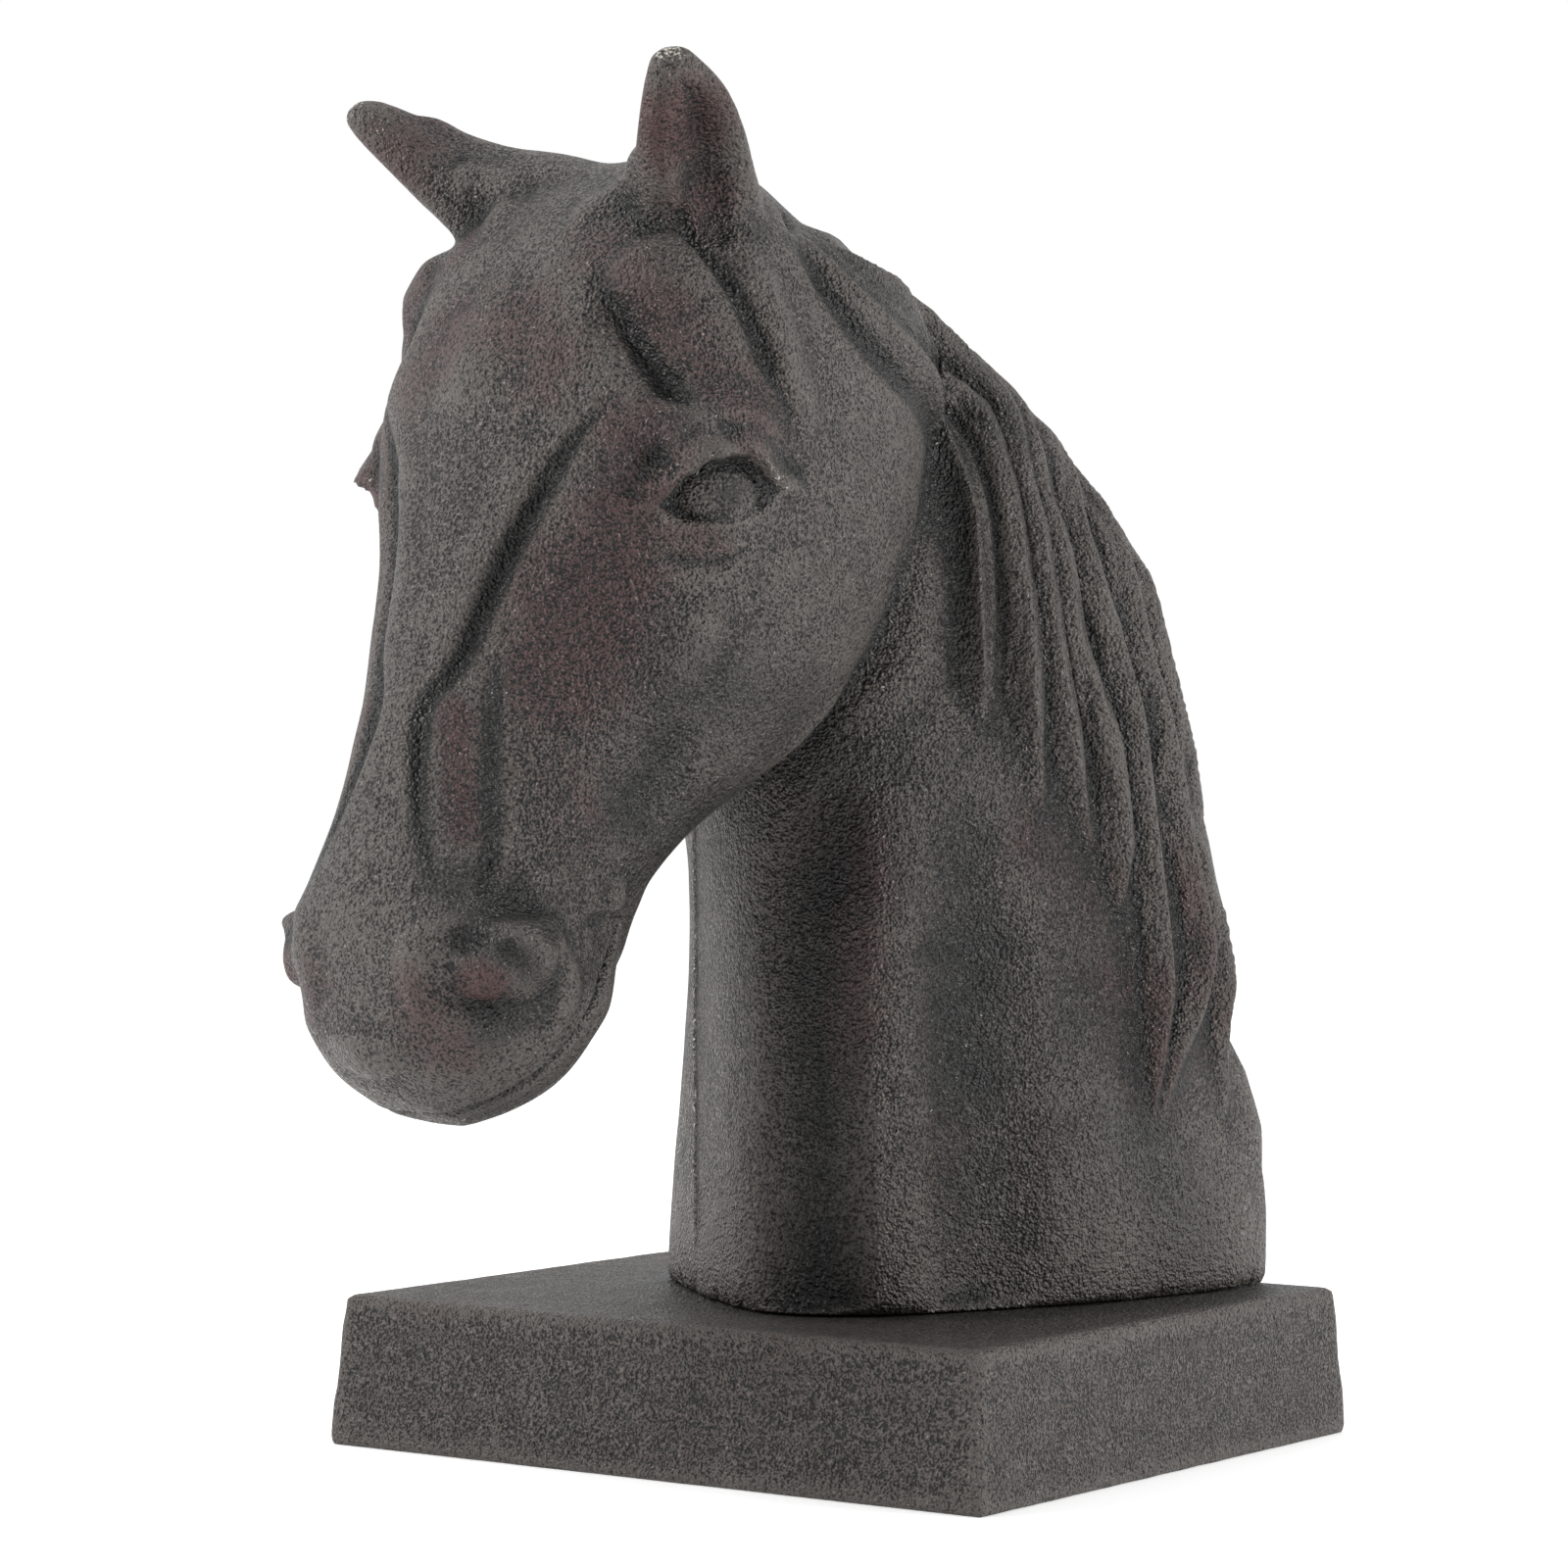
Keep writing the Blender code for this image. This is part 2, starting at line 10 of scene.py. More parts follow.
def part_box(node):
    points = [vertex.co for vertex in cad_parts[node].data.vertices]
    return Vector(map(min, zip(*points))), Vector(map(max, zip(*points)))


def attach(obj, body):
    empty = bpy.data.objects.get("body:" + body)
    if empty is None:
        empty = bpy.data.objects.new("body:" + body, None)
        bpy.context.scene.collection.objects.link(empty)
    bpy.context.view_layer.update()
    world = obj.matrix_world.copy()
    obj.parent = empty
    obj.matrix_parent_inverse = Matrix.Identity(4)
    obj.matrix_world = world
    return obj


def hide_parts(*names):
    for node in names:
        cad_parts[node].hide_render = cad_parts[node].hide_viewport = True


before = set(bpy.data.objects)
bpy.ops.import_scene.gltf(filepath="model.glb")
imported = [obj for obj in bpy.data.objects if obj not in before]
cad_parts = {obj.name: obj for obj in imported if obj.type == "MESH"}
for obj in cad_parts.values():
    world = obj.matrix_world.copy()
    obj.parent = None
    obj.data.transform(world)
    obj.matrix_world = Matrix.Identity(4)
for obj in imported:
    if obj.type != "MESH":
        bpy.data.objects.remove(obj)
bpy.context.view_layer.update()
millimetre = 0.001
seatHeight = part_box("horse_bust")[0].z
print("frame loaded, seat at", round(seatHeight / millimetre, 2), "mm")

# Camera: it stands where the photo was taken from, with places in metres
view = {
    "azimuth": 33.89,
    "pitch": -0.46,
    "roll": 0.66,
    "place": (0.3896, -0.5983, 0.1010),
    "lens": 112.5,
    "sensor": 36.0,
}


def makeCamera():
    turn = math.radians(view["azimuth"])
    tip = math.radians(view["pitch"])
    forward = Vector((-math.sin(turn) * math.cos(tip), math.cos(turn) * math.cos(tip), math.sin(tip)))
    right = Vector((math.cos(turn), math.sin(turn), 0.0))
    axes = Matrix((right, right.cross(forward), -forward)).transposed().to_4x4()
    lens = bpy.data.cameras.new("camera")
    lens.lens = view["lens"]
    lens.sensor_width = view["sensor"]
    lens.clip_start = 0.01
    camera = bpy.data.objects.new("camera", lens)
    roll = Matrix.Rotation(math.radians(view["roll"]), 4, "Z")
    camera.matrix_world = Matrix.Translation(view["place"]) @ axes @ roll
    bpy.context.scene.collection.objects.link(camera)
    bpy.context.scene.camera = camera


# Lights: name, bearing from the camera's azimuth, elevation, distance, width, watts
studio = {
    "lamps": [
        ("leftBox", -74, 32, 1.1, 0.45, 10.0),
        ("rightBox", 80, 20, 1.2, 0.45, 9.5),
        ("topBox", -150, 70, 1.2, 0.8, 2.0),
    ],
    "aim": (0.0, -0.01, 0.1),
    "skyBright": 1.0,
    "skyDim": 0.16,
    "dimFrom": 0.05,
    "dimTo": 0.85,
    "floorRadius": 3.2,
    "floorColour": (0.93, 0.93, 0.93, 1.0),
    "floorRoughness": 0.85,
    "floorGlow": 0.25,
}


def makeLamps():
    aim = Vector(studio["aim"])
    for name, bearing, elevation, distance, width, watts in studio["lamps"]:
        turn = math.radians(view["azimuth"] + bearing)
        rise = math.radians(elevation)
        away = Vector((math.sin(turn) * math.cos(rise), -math.cos(turn) * math.cos(rise), math.sin(rise)))
        lamp = bpy.data.lights.new(name, "AREA")
        lamp.size = width
        lamp.energy = watts
        item = bpy.data.objects.new(name, lamp)
        facing = away.to_track_quat("Z", "Y").to_matrix().to_4x4()
        item.matrix_world = Matrix.Translation(aim + away * distance) @ facing
        bpy.context.scene.collection.objects.link(item)


def linkMesh(name, form):
    mesh = bpy.data.meshes.new(name)
    form.to_mesh(mesh)
    form.free()
    item = bpy.data.objects.new(name, mesh)
    bpy.context.scene.collection.objects.link(item)
    return item


class Link:
    # A shader socket that Python's operators work on
    def __init__(self, owner, socket):
        self.owner = owner
        self.socket = socket

    def __add__(self, other):
        return self.owner.maths("ADD", self, other)

    def __sub__(self, other):
        return self.owner.maths("SUBTRACT", self, other)

    def __rsub__(self, other):
        return self.owner.maths("SUBTRACT", other, self)

    def __mul__(self, other):
        return self.owner.maths("MULTIPLY", self, other)

    __radd__ = __add__
    __rmul__ = __mul__


class Nodes:
    # The nodes of one material or world, made one by one
    def __init__(self, owner):
        owner.use_nodes = True
        self.nodes = owner.node_tree.nodes
        self.links = owner.node_tree.links
        self.nodes.clear()

    def node(self, kind, settings, inputs, output=0):
        made = self.nodes.new(kind)
        for key, value in settings.items():
            setattr(made, key, value)
        for key, value in inputs.items():
            if isinstance(value, Link):
                self.links.new(value.socket, made.inputs[key])
            else:
                made.inputs[key].default_value = value
        return Link(self, made.outputs[output]) if made.outputs else None

    def maths(self, operation, first, second):
        return self.node("ShaderNodeMath", {"operation": operation}, {0: first, 1: second})

    def step(self, value, low, high, bottom=0.0, top=1.0):
        # bottom below low, top above high, smooth between
        inputs = {"Value": value, "From Min": low, "From Max": high, "To Min": bottom, "To Max": top}
        return self.node("ShaderNodeMapRange", {"interpolation_type": "SMOOTHSTEP"}, inputs)

    def blend(self, share, first, second, kind="MIX"):
        settings = {"data_type": "RGBA", "blend_type": kind}
        return self.node("ShaderNodeMix", settings, {"Factor": share, 6: first, 7: second}, 2)

    def noise(self, place, size, detail=2.0, roughness=0.5):
        # Noise whose features are about size millimetres
        scale = 1.0 / (size * millimetre)
        inputs = {"Vector": place, "Scale": scale, "Detail": detail, "Roughness": roughness}
        return self.node("ShaderNodeTexNoise", {}, inputs)

    def attribute(self, name):
        return self.node("ShaderNodeAttribute", {"attribute_name": name}, {}, 2)

    def finish(self, inputs):
        shader = self.node("ShaderNodeBsdfPrincipled", {}, inputs)
        self.node("ShaderNodeOutputMaterial", {}, {"Surface": shader})


def makeSky():
    # Bright all round, and dimmer where the camera stands, as between two soft boxes
    sky = bpy.data.worlds.new("sky")
    nodes = Nodes(sky)
    turn = math.radians(view["azimuth"])
    direction = nodes.node("ShaderNodeTexCoord", {}, {})
    towards = (math.sin(turn), -math.cos(turn), 0.0)
    facing = nodes.node("ShaderNodeVectorMath", {"operation": "DOT_PRODUCT"}, {0: direction, 1: towards}, 1)
    light = nodes.step(facing, studio["dimFrom"], studio["dimTo"], studio["skyBright"], studio["skyDim"])
    seen = nodes.node("ShaderNodeLightPath", {}, {})
    strength = light * (1 - seen) + seen
    backdrop = nodes.node("ShaderNodeBackground", {}, {"Color": (1.0, 1.0, 1.0, 1.0), "Strength": strength})
    nodes.node("ShaderNodeOutputWorld", {}, {"Surface": backdrop})
    bpy.context.scene.world = sky
    bpy.context.scene.view_settings.view_transform = "Standard"


def makeFloor():
    form = bmesh.new()
    bmesh.ops.create_circle(form, cap_ends=True, radius=studio["floorRadius"], segments=96)
    floor = linkMesh("floor", form)
    paint = bpy.data.materials.new("paleFloor")
    Nodes(paint).finish({
        "Base Color": studio["floorColour"],
        "Roughness": studio["floorRoughness"],
        "Emission Color": (1.0, 1.0, 1.0, 1.0),
        "Emission Strength": studio["floorGlow"],
    })
    floor.data.materials.append(paint)


# Iron: colours are linear, sizes are millimetres. Each of the steps goes from none at its first
# value to all at its second, and what varies them is weighed by the numbers after those
iron = {
    "charcoal": (0.048, 0.0424, 0.0382, 1.0),
    "umber": (0.035, 0.0185, 0.017, 1.0),
    # Near black, for real soot in the hollows and for painted shade in creases, nostrils and undersides
    "sootAndShade": (0.008, 0.008, 0.008, 1.0),
    # Pale grey for the ear tips worn bare, and for painted highlights on the lid crest, the temple and the
    # parting line
    "bareAndHighlight": (0.42, 0.40, 0.35, 1.0),
    # The grain's painted shade in its pits, and painted light on its tops and on ridges
    "pitShade": (0.12, 0.12, 0.125, 1.0),
    "topShade": (1.75, 1.75, 1.75, 1.0),
    "patchSize": 26.0,
    "mottleSize": 4.5,
    "dustSize": 0.5,
    "lumpSize": 3.0,
    "warmStep": (0.05, 1.0),
    "warmMix": {"patches": 1.1, "mottle": 0.7, "grit": 0.5},
    "sootShadeStep": (0.12, 1.1),
    "sootShadeMix": {"patches": 0.5, "mottle": 0.8, "grit": 0.9},
    "sootShadeMost": 0.88,
    "shadeStep": (0.4, 0.62),
    "shadeMix": {"mottle": 0.2, "ridge": 0.14},
    "scuffHighlightStep": (0.5, 0.75),
    "scuffHighlightGrit": 1.6,
    "glintStep": (0.56, 0.72),
    "glintMottle": 0.3,
    "heightMix": {"pebbles": 0.7, "grains": 0.35, "dust": 0.3, "lumps": 0.6},
    "sleekMost": 0.85,
    "roughness": {"plain": 0.56, "glint": 0.3, "sootAndShade": 0.1, "sleek": 0.3},
    "metallic": 0.2,
    "specular": 0.45,
}


def makeIron(name, grain, relief):
    # grain is the pebbles' size and relief their height, both in millimetres
    material = bpy.data.materials.new(name)
    nodes = Nodes(material)
    place = nodes.node("ShaderNodeTexCoord", {}, {}, 3)
    hollow = nodes.attribute("hollow")
    ridge = nodes.attribute("ridge")
    warm = nodes.attribute("warm")
    wornAndHighlight = nodes.attribute("wornAndHighlight")
    sleek = nodes.attribute("sleek")
    patches = nodes.noise(place, iron["patchSize"], 3.0, 0.6)
    mottle = nodes.noise(place, iron["mottleSize"], 3.0, 0.6)
    pebbles = nodes.noise(place, grain, 1.0, 0.5)
    grains = nodes.node("ShaderNodeTexVoronoi", {}, {"Vector": place, "Scale": 1.0 / (grain * millimetre)})
    dust = nodes.noise(place, grain * iron["dustSize"], 0.0, 0.5)
    lumps = nodes.noise(place, grain * iron["lumpSize"], 2.0, 0.5)
    grit = pebbles * 0.5 + dust * 0.5
    varied = {"patches": patches - 0.5, "mottle": mottle - 0.5, "grit": grit - 0.5}
    mix = iron["warmMix"]
    warmth = warm + varied["patches"] * mix["patches"] + varied["mottle"] * mix["mottle"]
    warmth = nodes.step(warmth + varied["grit"] * mix["grit"], *iron["warmStep"])
    colour = nodes.blend(warmth, iron["charcoal"], iron["umber"])
    # Soot and painted shade: near black where the skin lies in hollows and where soot or shade is painted on
    mix = iron["sootShadeMix"]
    sootAndShade = hollow + varied["mottle"] * mix["mottle"] + varied["patches"] * mix["patches"]
    sootAndShade = nodes.step(sootAndShade + varied["grit"] * mix["grit"], *iron["sootShadeStep"])
    colour = nodes.blend(sootAndShade * iron["sootShadeMost"], colour, iron["sootAndShade"])
    # Painted shade in the grain's pits and painted highlight on its tops and on the skin's ridges, with some
    # random mottle
    mix = iron["shadeMix"]
    shade = nodes.step(grit + varied["mottle"] * mix["mottle"] + ridge * mix["ridge"], *iron["shadeStep"])
    shade = nodes.blend(shade, iron["pitShade"], iron["topShade"])
    colour = nodes.blend(1.0, colour, shade, "MULTIPLY")
    # Bare metal at the worn ear tips, and painted highlights as pale specks on the lid crest, the temple and
    # the parting line
    scuffAndHighlight = nodes.step(wornAndHighlight + varied["grit"] * iron["scuffHighlightGrit"], *iron["scuffHighlightStep"])
    colour = nodes.blend(scuffAndHighlight, colour, iron["bareAndHighlight"])
    glint = nodes.step(dust + varied["mottle"] * iron["glintMottle"], *iron["glintStep"])
    mix = iron["heightMix"]
    height = pebbles * mix["pebbles"] - grains * mix["grains"] + dust * mix["dust"] + lumps * mix["lumps"]
    height = height * (1 - sleek * iron["sleekMost"])
    depth = relief * millimetre
    mix = iron["roughness"]
    bump = nodes.node("ShaderNodeBump", {}, {"Height": height, "Strength": 1.0, "Distance": depth})
    nodes.finish({
        "Base Color": colour,
        "Roughness": mix["plain"] - glint * mix["glint"] - sootAndShade * mix["sootAndShade"] + sleek * mix["sleek"],
        "Metallic": iron["metallic"],
        "Specular IOR Level": iron["specular"],
        "Normal": bump,
    })
    return material


# Bust: its plan and its sections. Hand is 1 on the horse's left side and -1 on its right
bust = {
    "voxel": 0.6,
    "quickVoxel": 1.1,
    "triangles": 192000,
    "around": 96,
    "rows": 6,
    "neckTurn": math.radians(41.7),
    "headTurn": math.radians(-8.0),
    "headTilt": math.radians(20.0),
    "throatFoot": (-16.3, -17.1),
    "poll": (-10.3, -49.1, 159.2),
    "bendReach": (32.0, 6.0),
    "bendHeights": (58.0, 108.0),
    "seatRound": 1.2,
    "seatInset": 0.8,
    "softenLast": 3,
    "cavityRounds": (4, 40),
    "uneven": (7.0, 0.10),
    "iron": (0.7, 0.8),
    # front r, its height, back r, its height, half width, share of the depth at the widest, powers of
    # the section's near and far halves
    "neck": [
        (0.0, -4.0, 88.5, -4.0, 34.0, 0.22, 3.2, 1.35),
        (0.5, 14.0, 87.8, 17.0, 33.0, 0.22, 3.0, 1.4),
        (1.5, 34.0, 80.2, 42.0, 31.0, 0.25, 2.9, 1.45),
        (1.8, 52.0, 74.4, 66.0, 29.7, 0.29, 2.8, 1.55),
        (0.4, 68.0, 70.2, 86.0, 28.5, 0.33, 2.6, 1.65),
        (-3.0, 82.0, 64.3, 104.0, 26.5, 0.38, 2.4, 1.75),
        (-8.0, 93.0, 53.4, 118.5, 24.0, 0.42, 2.2, 1.8),
        (-13.0, 103.0, 40.6, 132.5, 21.0, 0.45, 2.1, 1.8),
        (-19.0, 112.0, 27.0, 144.0, 18.5, 0.48, 2.0, 1.8),
        (-26.0, 120.0, 13.0, 151.5, 17.0, 0.5, 2.0, 1.9),
        (-34.0, 128.0, -6.0, 155.0, 15.0, 0.5, 2.0, 2.0),
    ],
    # along, top, bottom, half width, share of depth at the widest, powers above and below
    "head": [
        (-7.0, -13.0, -30.0, 9.0, 0.5, 2.0, 2.0),
        (-2.0, -3.5, -46.0, 18.0, 0.4, 2.0, 2.2),
        (8.0, 7.0, -58.0, 26.0, 0.38, 2.3, 2.6),
        (20.0, 12.5, -62.0, 30.0, 0.36, 2.6, 2.8),
        (35.0, 13.5, -62.0, 31.0, 0.34, 2.4, 3.0),
        (50.0, 11.8, -59.0, 30.5, 0.36, 2.1, 3.0),
        (62.0, 11.2, -53.5, 28.0, 0.46, 1.9, 3.0),
        (74.0, 11.0, -46.5, 24.5, 0.52, 1.9, 2.8),
        (86.0, 10.8, -38.5, 20.5, 0.56, 2.0, 2.5),
        (97.0, 10.2, -34.5, 18.5, 0.52, 2.1, 2.3),
        (107.0, 9.4, -34.0, 19.5, 0.4, 2.2, 2.2),
        (115.0, 8.0, -32.5, 22.0, 0.38, 2.3, 2.2),
        (124.0, 3.2, -28.5, 19.0, 0.44, 2.3, 2.2),
        (130.0, -1.8, -23.0, 14.0, 0.5, 2.2, 2.2),
        (133.5, -8.0, -19.0, 6.5, 0.5, 2.0, 2.0),
    ],
    # side, forward, height over the poll, half width, half depth
    "ear": [
        (15.0, -4.0, -18.0, 10.0, 8.0),
        (17.5, 0.0, -9.0, 9.6, 6.8),
        (21.7, 6.0, -1.5, 8.0, 5.4),
        (25.9, 12.0, 5.0, 6.1, 4.2),
        (28.2, 16.6, 9.4, 3.2, 2.8),
        (29.0, 18.6, 11.8, 0.8, 1.0),
    ],
    "earFacing": (0.75, 0.45, -0.35),
    "rightEar": {"droop": 3.0, "spread": 2.6, "webRise": 1.5},
    # side, forward, height over the poll, radius of the skin that runs up to each ear
    "earWeb": [
        (0.0, -2.0, -9.0, 9.2),
        (9.0, -1.0, -8.4, 9.2),
        (16.0, 1.5, -6.6, 8.5),
        (21.5, 6.0, -3.0, 6.9),
        (25.0, 10.0, 1.6, 5.2),
    ],
}


def rowAt(rows, share):
    # Row at a share of the way along a smooth curve through the rows
    rows = np.asarray(rows, float)
    last = len(rows) - 1
    t = min(max(share, 0.0), 1.0) * last
    i = min(int(t), last - 1)
    f = t - i
    p1, p2 = rows[i], rows[i + 1]
    p0 = rows[i - 1] if i > 0 else 2 * p1 - p2
    p3 = rows[i + 2] if i + 2 <= last else 2 * p2 - p1
    return 0.5 * (2 * p1 + (p2 - p0) * f + (2 * p0 - 5 * p1 + 4 * p2 - p3) * f ** 2
                  + (3 * p1 - p0 - 3 * p2 + p3) * f ** 3)


def sectionPoint(turn, half, widest, near, far):
    # Side and share of the depth on a rounded section, turn going from 0 to 1 round it
    sine, cosine = math.sin(2 * math.pi * turn), math.cos(2 * math.pi * turn)
    power = near if cosine >= 0 else far
    reach = widest if cosine >= 0 else 1 - widest
    side = math.copysign(abs(sine) ** (2 / power), sine) * half
    return side, widest - math.copysign(abs(cosine) ** (2 / power), cosine) * reach


def straightPlan(r):
    x, y = bust["throatFoot"]
    return x + r * math.sin(bust["neckTurn"]), y + r * math.cos(bust["neckTurn"])


def bentPlan(r):
    # Plan place and heading r behind the throat's foot, with the head's turn in it
    far, near = bust["bendReach"]
    if r >= far:
        return (*straightPlan(r), bust["neckTurn"])
    x, y = straightPlan(far)
    steps = 12
    run = (far - max(r, near)) / steps
    heading = bust["neckTurn"]
    for k in range(steps):
        heading = bust["neckTurn"] - (bust["headTurn"] + bust["neckTurn"]) * (k + 0.5) * run / (far - near)
        x -= run * math.sin(heading)
        y -= run * math.cos(heading)
    if r < near:
        heading = -bust["headTurn"]
        x -= (near - r) * math.sin(heading)
        y -= (near - r) * math.cos(heading)
    return x, y, heading


def neckPlace(r, height, side):
    low, high = bust["bendHeights"]
    share = min(max((height - low) / (high - low), 0.0), 1.0)
    share = share * share * (3 - 2 * share)
    plainX, plainY = straightPlan(r)
    x, y, heading = bentPlan(r)
    x = plainX + share * (x - plainX)
    y = plainY + share * (y - plainY)
    heading = bust["neckTurn"] + share * (heading - bust["neckTurn"])
    return Vector((x + side * math.cos(heading), y - side * math.sin(heading), height))


def pollPlace(side, forward, height):
    sine, cosine = math.sin(bust["headTurn"]), math.cos(bust["headTurn"])
    x, y, z = bust["poll"]
    return Vector((x + forward * sine + side * cosine, y - forward * cosine + side * sine, z + height))


def headPlace(along, lift, side):
    # By the head's length down from the poll, and the lift over its axis
    sine, cosine = math.sin(bust["headTilt"]), math.cos(bust["headTilt"])
    return pollPlace(side, along * sine + lift * cosine, lift * sine - along * cosine)


def rolledGrid(rows, placeAt):
    # A grid rolled into a tube through placeAt(turn, share), its seam merged and its ends closed
    form = bmesh.new()
    bmesh.ops.create_grid(form, x_segments=bust["around"], y_segments=bust["rows"] * len(rows), size=1.0)
    for vert in form.verts:
        vert.co = placeAt(vert.co.x / 2 + 0.5, vert.co.y / 2 + 0.5)
    bmesh.ops.remove_doubles(form, verts=form.verts, dist=1e-4)
    bmesh.ops.holes_fill(form, edges=form.edges, sides=0)
    bmesh.ops.recalc_face_normals(form, faces=form.faces)
    return form


def neckForm():
    def placeAt(turn, share):
        frontR, frontZ, backR, backZ, half, widest, near, far = rowAt(bust["neck"], share)
        side, depth = sectionPoint(turn, half, widest, near, far)
        return neckPlace(frontR + (backR - frontR) * depth, frontZ + (backZ - frontZ) * depth, side)
    return rolledGrid(bust["neck"], placeAt)


def headForm():
    def placeAt(turn, share):
        along, top, bottom, half, widest, near, far = rowAt(bust["head"], share)
        side, depth = sectionPoint(turn, half, widest, near, far)
        return headPlace(along, top + (bottom - top) * depth, side)
    return rolledGrid(bust["head"], placeAt)


def earRows(hand):
    # The ear's centres and half sizes, with the directions across it and out of its hollow
    rows = []
    last = len(bust["ear"]) - 1
    for k, (side, forward, height, half, depth) in enumerate(bust["ear"]):
        share = k / last if hand < 0 else 0.0
        side += bust["rightEar"]["spread"] * share
        height -= bust["rightEar"]["droop"] * share ** 2
        rows.append((*pollPlace(hand * side, forward, height), half, depth))
    axis = (Vector(rows[-1][:3]) - Vector(rows[0][:3])).normalized()
    side, forward, height = bust["earFacing"]
    facing = pollPlace(hand * side, forward, height) - pollPlace(0, 0, 0)
    facing = (facing - axis * facing.dot(axis)).normalized()
    return rows, axis.cross(facing), facing


def earForm(hand):
    rows, across, facing = earRows(hand)

    def placeAt(turn, share):
        x, y, z, half, depth = rowAt(rows, share)
        wide, deep = sectionPoint(turn, half, 0.5, 2.0, 2.0)
        return Vector((x, y, z)) + across * wide + facing * depth * (1 - 2 * deep)
    return rolledGrid(rows, placeAt)


def webForm():
    # Skin over the poll from one ear to the other
    rise = bust["rightEar"]["webRise"]
    rows = []
    for side, forward, height, radius in bust["earWeb"][:0:-1]:
        rows.append((-side, forward, height + rise, radius))
    rows += bust["earWeb"]

    def placeAt(turn, share):
        side, forward, height, radius = rowAt(rows, share)
        wide, deep = sectionPoint(turn, radius, 0.5, 2.0, 2.0)
        return pollPlace(side, forward + wide, height + radius * (1 - 2 * deep))
    return rolledGrid(rows, placeAt)


def bake(item):
    # Applies the object's modifiers to its mesh
    bpy.context.view_layer.update()
    made = bpy.data.meshes.new_from_object(item.evaluated_get(bpy.context.evaluated_depsgraph_get()))
    item.modifiers.clear()
    old = item.data
    item.data = made
    bpy.data.meshes.remove(old)


def joinForms(name, forms, voxel):
    form = bmesh.new()
    for piece in forms:
        mesh = bpy.data.meshes.new("piece")
        piece.to_mesh(mesh)
        piece.free()
        form.from_mesh(mesh)
        bpy.data.meshes.remove(mesh)
    item = linkMesh(name, form)
    remesh = item.modifiers.new("oneCasting", "REMESH")
    remesh.mode = "VOXEL"
    remesh.voxel_size = voxel
    bake(item)
    return item


def readMesh(mesh):
    places = np.empty(len(mesh.vertices) * 3)
    mesh.vertices.foreach_get("co", places)
    normals = np.empty(len(mesh.vertices) * 3)
    mesh.vertex_normals.foreach_get("vector", normals)
    return places.reshape(-1, 3), normals.reshape(-1, 3)


def writeMesh(mesh, places):
    mesh.vertices.foreach_set("co", places.ravel())
    mesh.update()


def skinTree(mesh):
    form = bmesh.new()
    form.from_mesh(mesh)
    tree = BVHTree.FromBMesh(form)
    form.free()
    return tree


def neighbours(mesh):
    edges = np.empty(len(mesh.edges) * 2, dtype=np.int32)
    mesh.edges.foreach_get("vertices", edges)
    return edges.reshape(-1, 2)


def smoothed(values, edges, rounds):
    # Each row of values drawn half way to the mean of its neighbours', round after round
    values = np.array(values, float)
    count = np.maximum(np.bincount(edges.ravel(), minlength=len(values)), 1)[:, None]
    for k in range(rounds):
        total = np.zeros_like(values)
        for axis in range(values.shape[1]):
            total[:, axis] = (np.bincount(edges[:, 0], values[edges[:, 1], axis], len(values))
                              + np.bincount(edges[:, 1], values[edges[:, 0], axis], len(values)))
        values += (total / count - values) * 0.5
    return values


def soften(mesh, rounds):
    places, normals = readMesh(mesh)
    writeMesh(mesh, smoothed(places, neighbours(mesh), rounds))


# How finely the neck is searched and how far apart a path's points are
search = {"neckSteps": 120, "pathStep": 1.4}


def neckSkin(r, height, hand):
    # Point of the plain neck at r and height, on the side that hand names
    best, side = 1e9, 0.0
    for k in range(search["neckSteps"] + 1):
        frontR, frontZ, backR, backZ, half, widest, near, far = rowAt(bust["neck"], k / search["neckSteps"])
        depth = (r - frontR) / (backR - frontR)
        miss = abs(frontZ + (backZ - frontZ) * depth - height)
        if miss < best:
            across = (widest - depth) / widest if depth < widest else (depth - widest) / (1 - widest)
            power = near if depth < widest else far
            best, side = miss, half * max(1 - abs(across) ** power, 0.0) ** (1 / power)
    return neckPlace(r, height, hand * side)


def skinPath(points, hand, tree):
    # A smooth path on the skin: points of three are the head's, points of two the neck's
    places = []
    for point in points:
        if len(point) == 3:
            places.append(headPlace(point[0], point[1], hand * point[2]))
        else:
            places.append(neckSkin(*point, hand))
    places = [tree.find_nearest(place)[0] for place in places]
    if len(places) == 1:
        return np.array(places, float)
    length = sum((two - one).length for one, two in zip(places, places[1:]))
    count = max(int(length / search["pathStep"]), 3)
    return np.array([rowAt(places, k / count) for k in range(count + 1)])


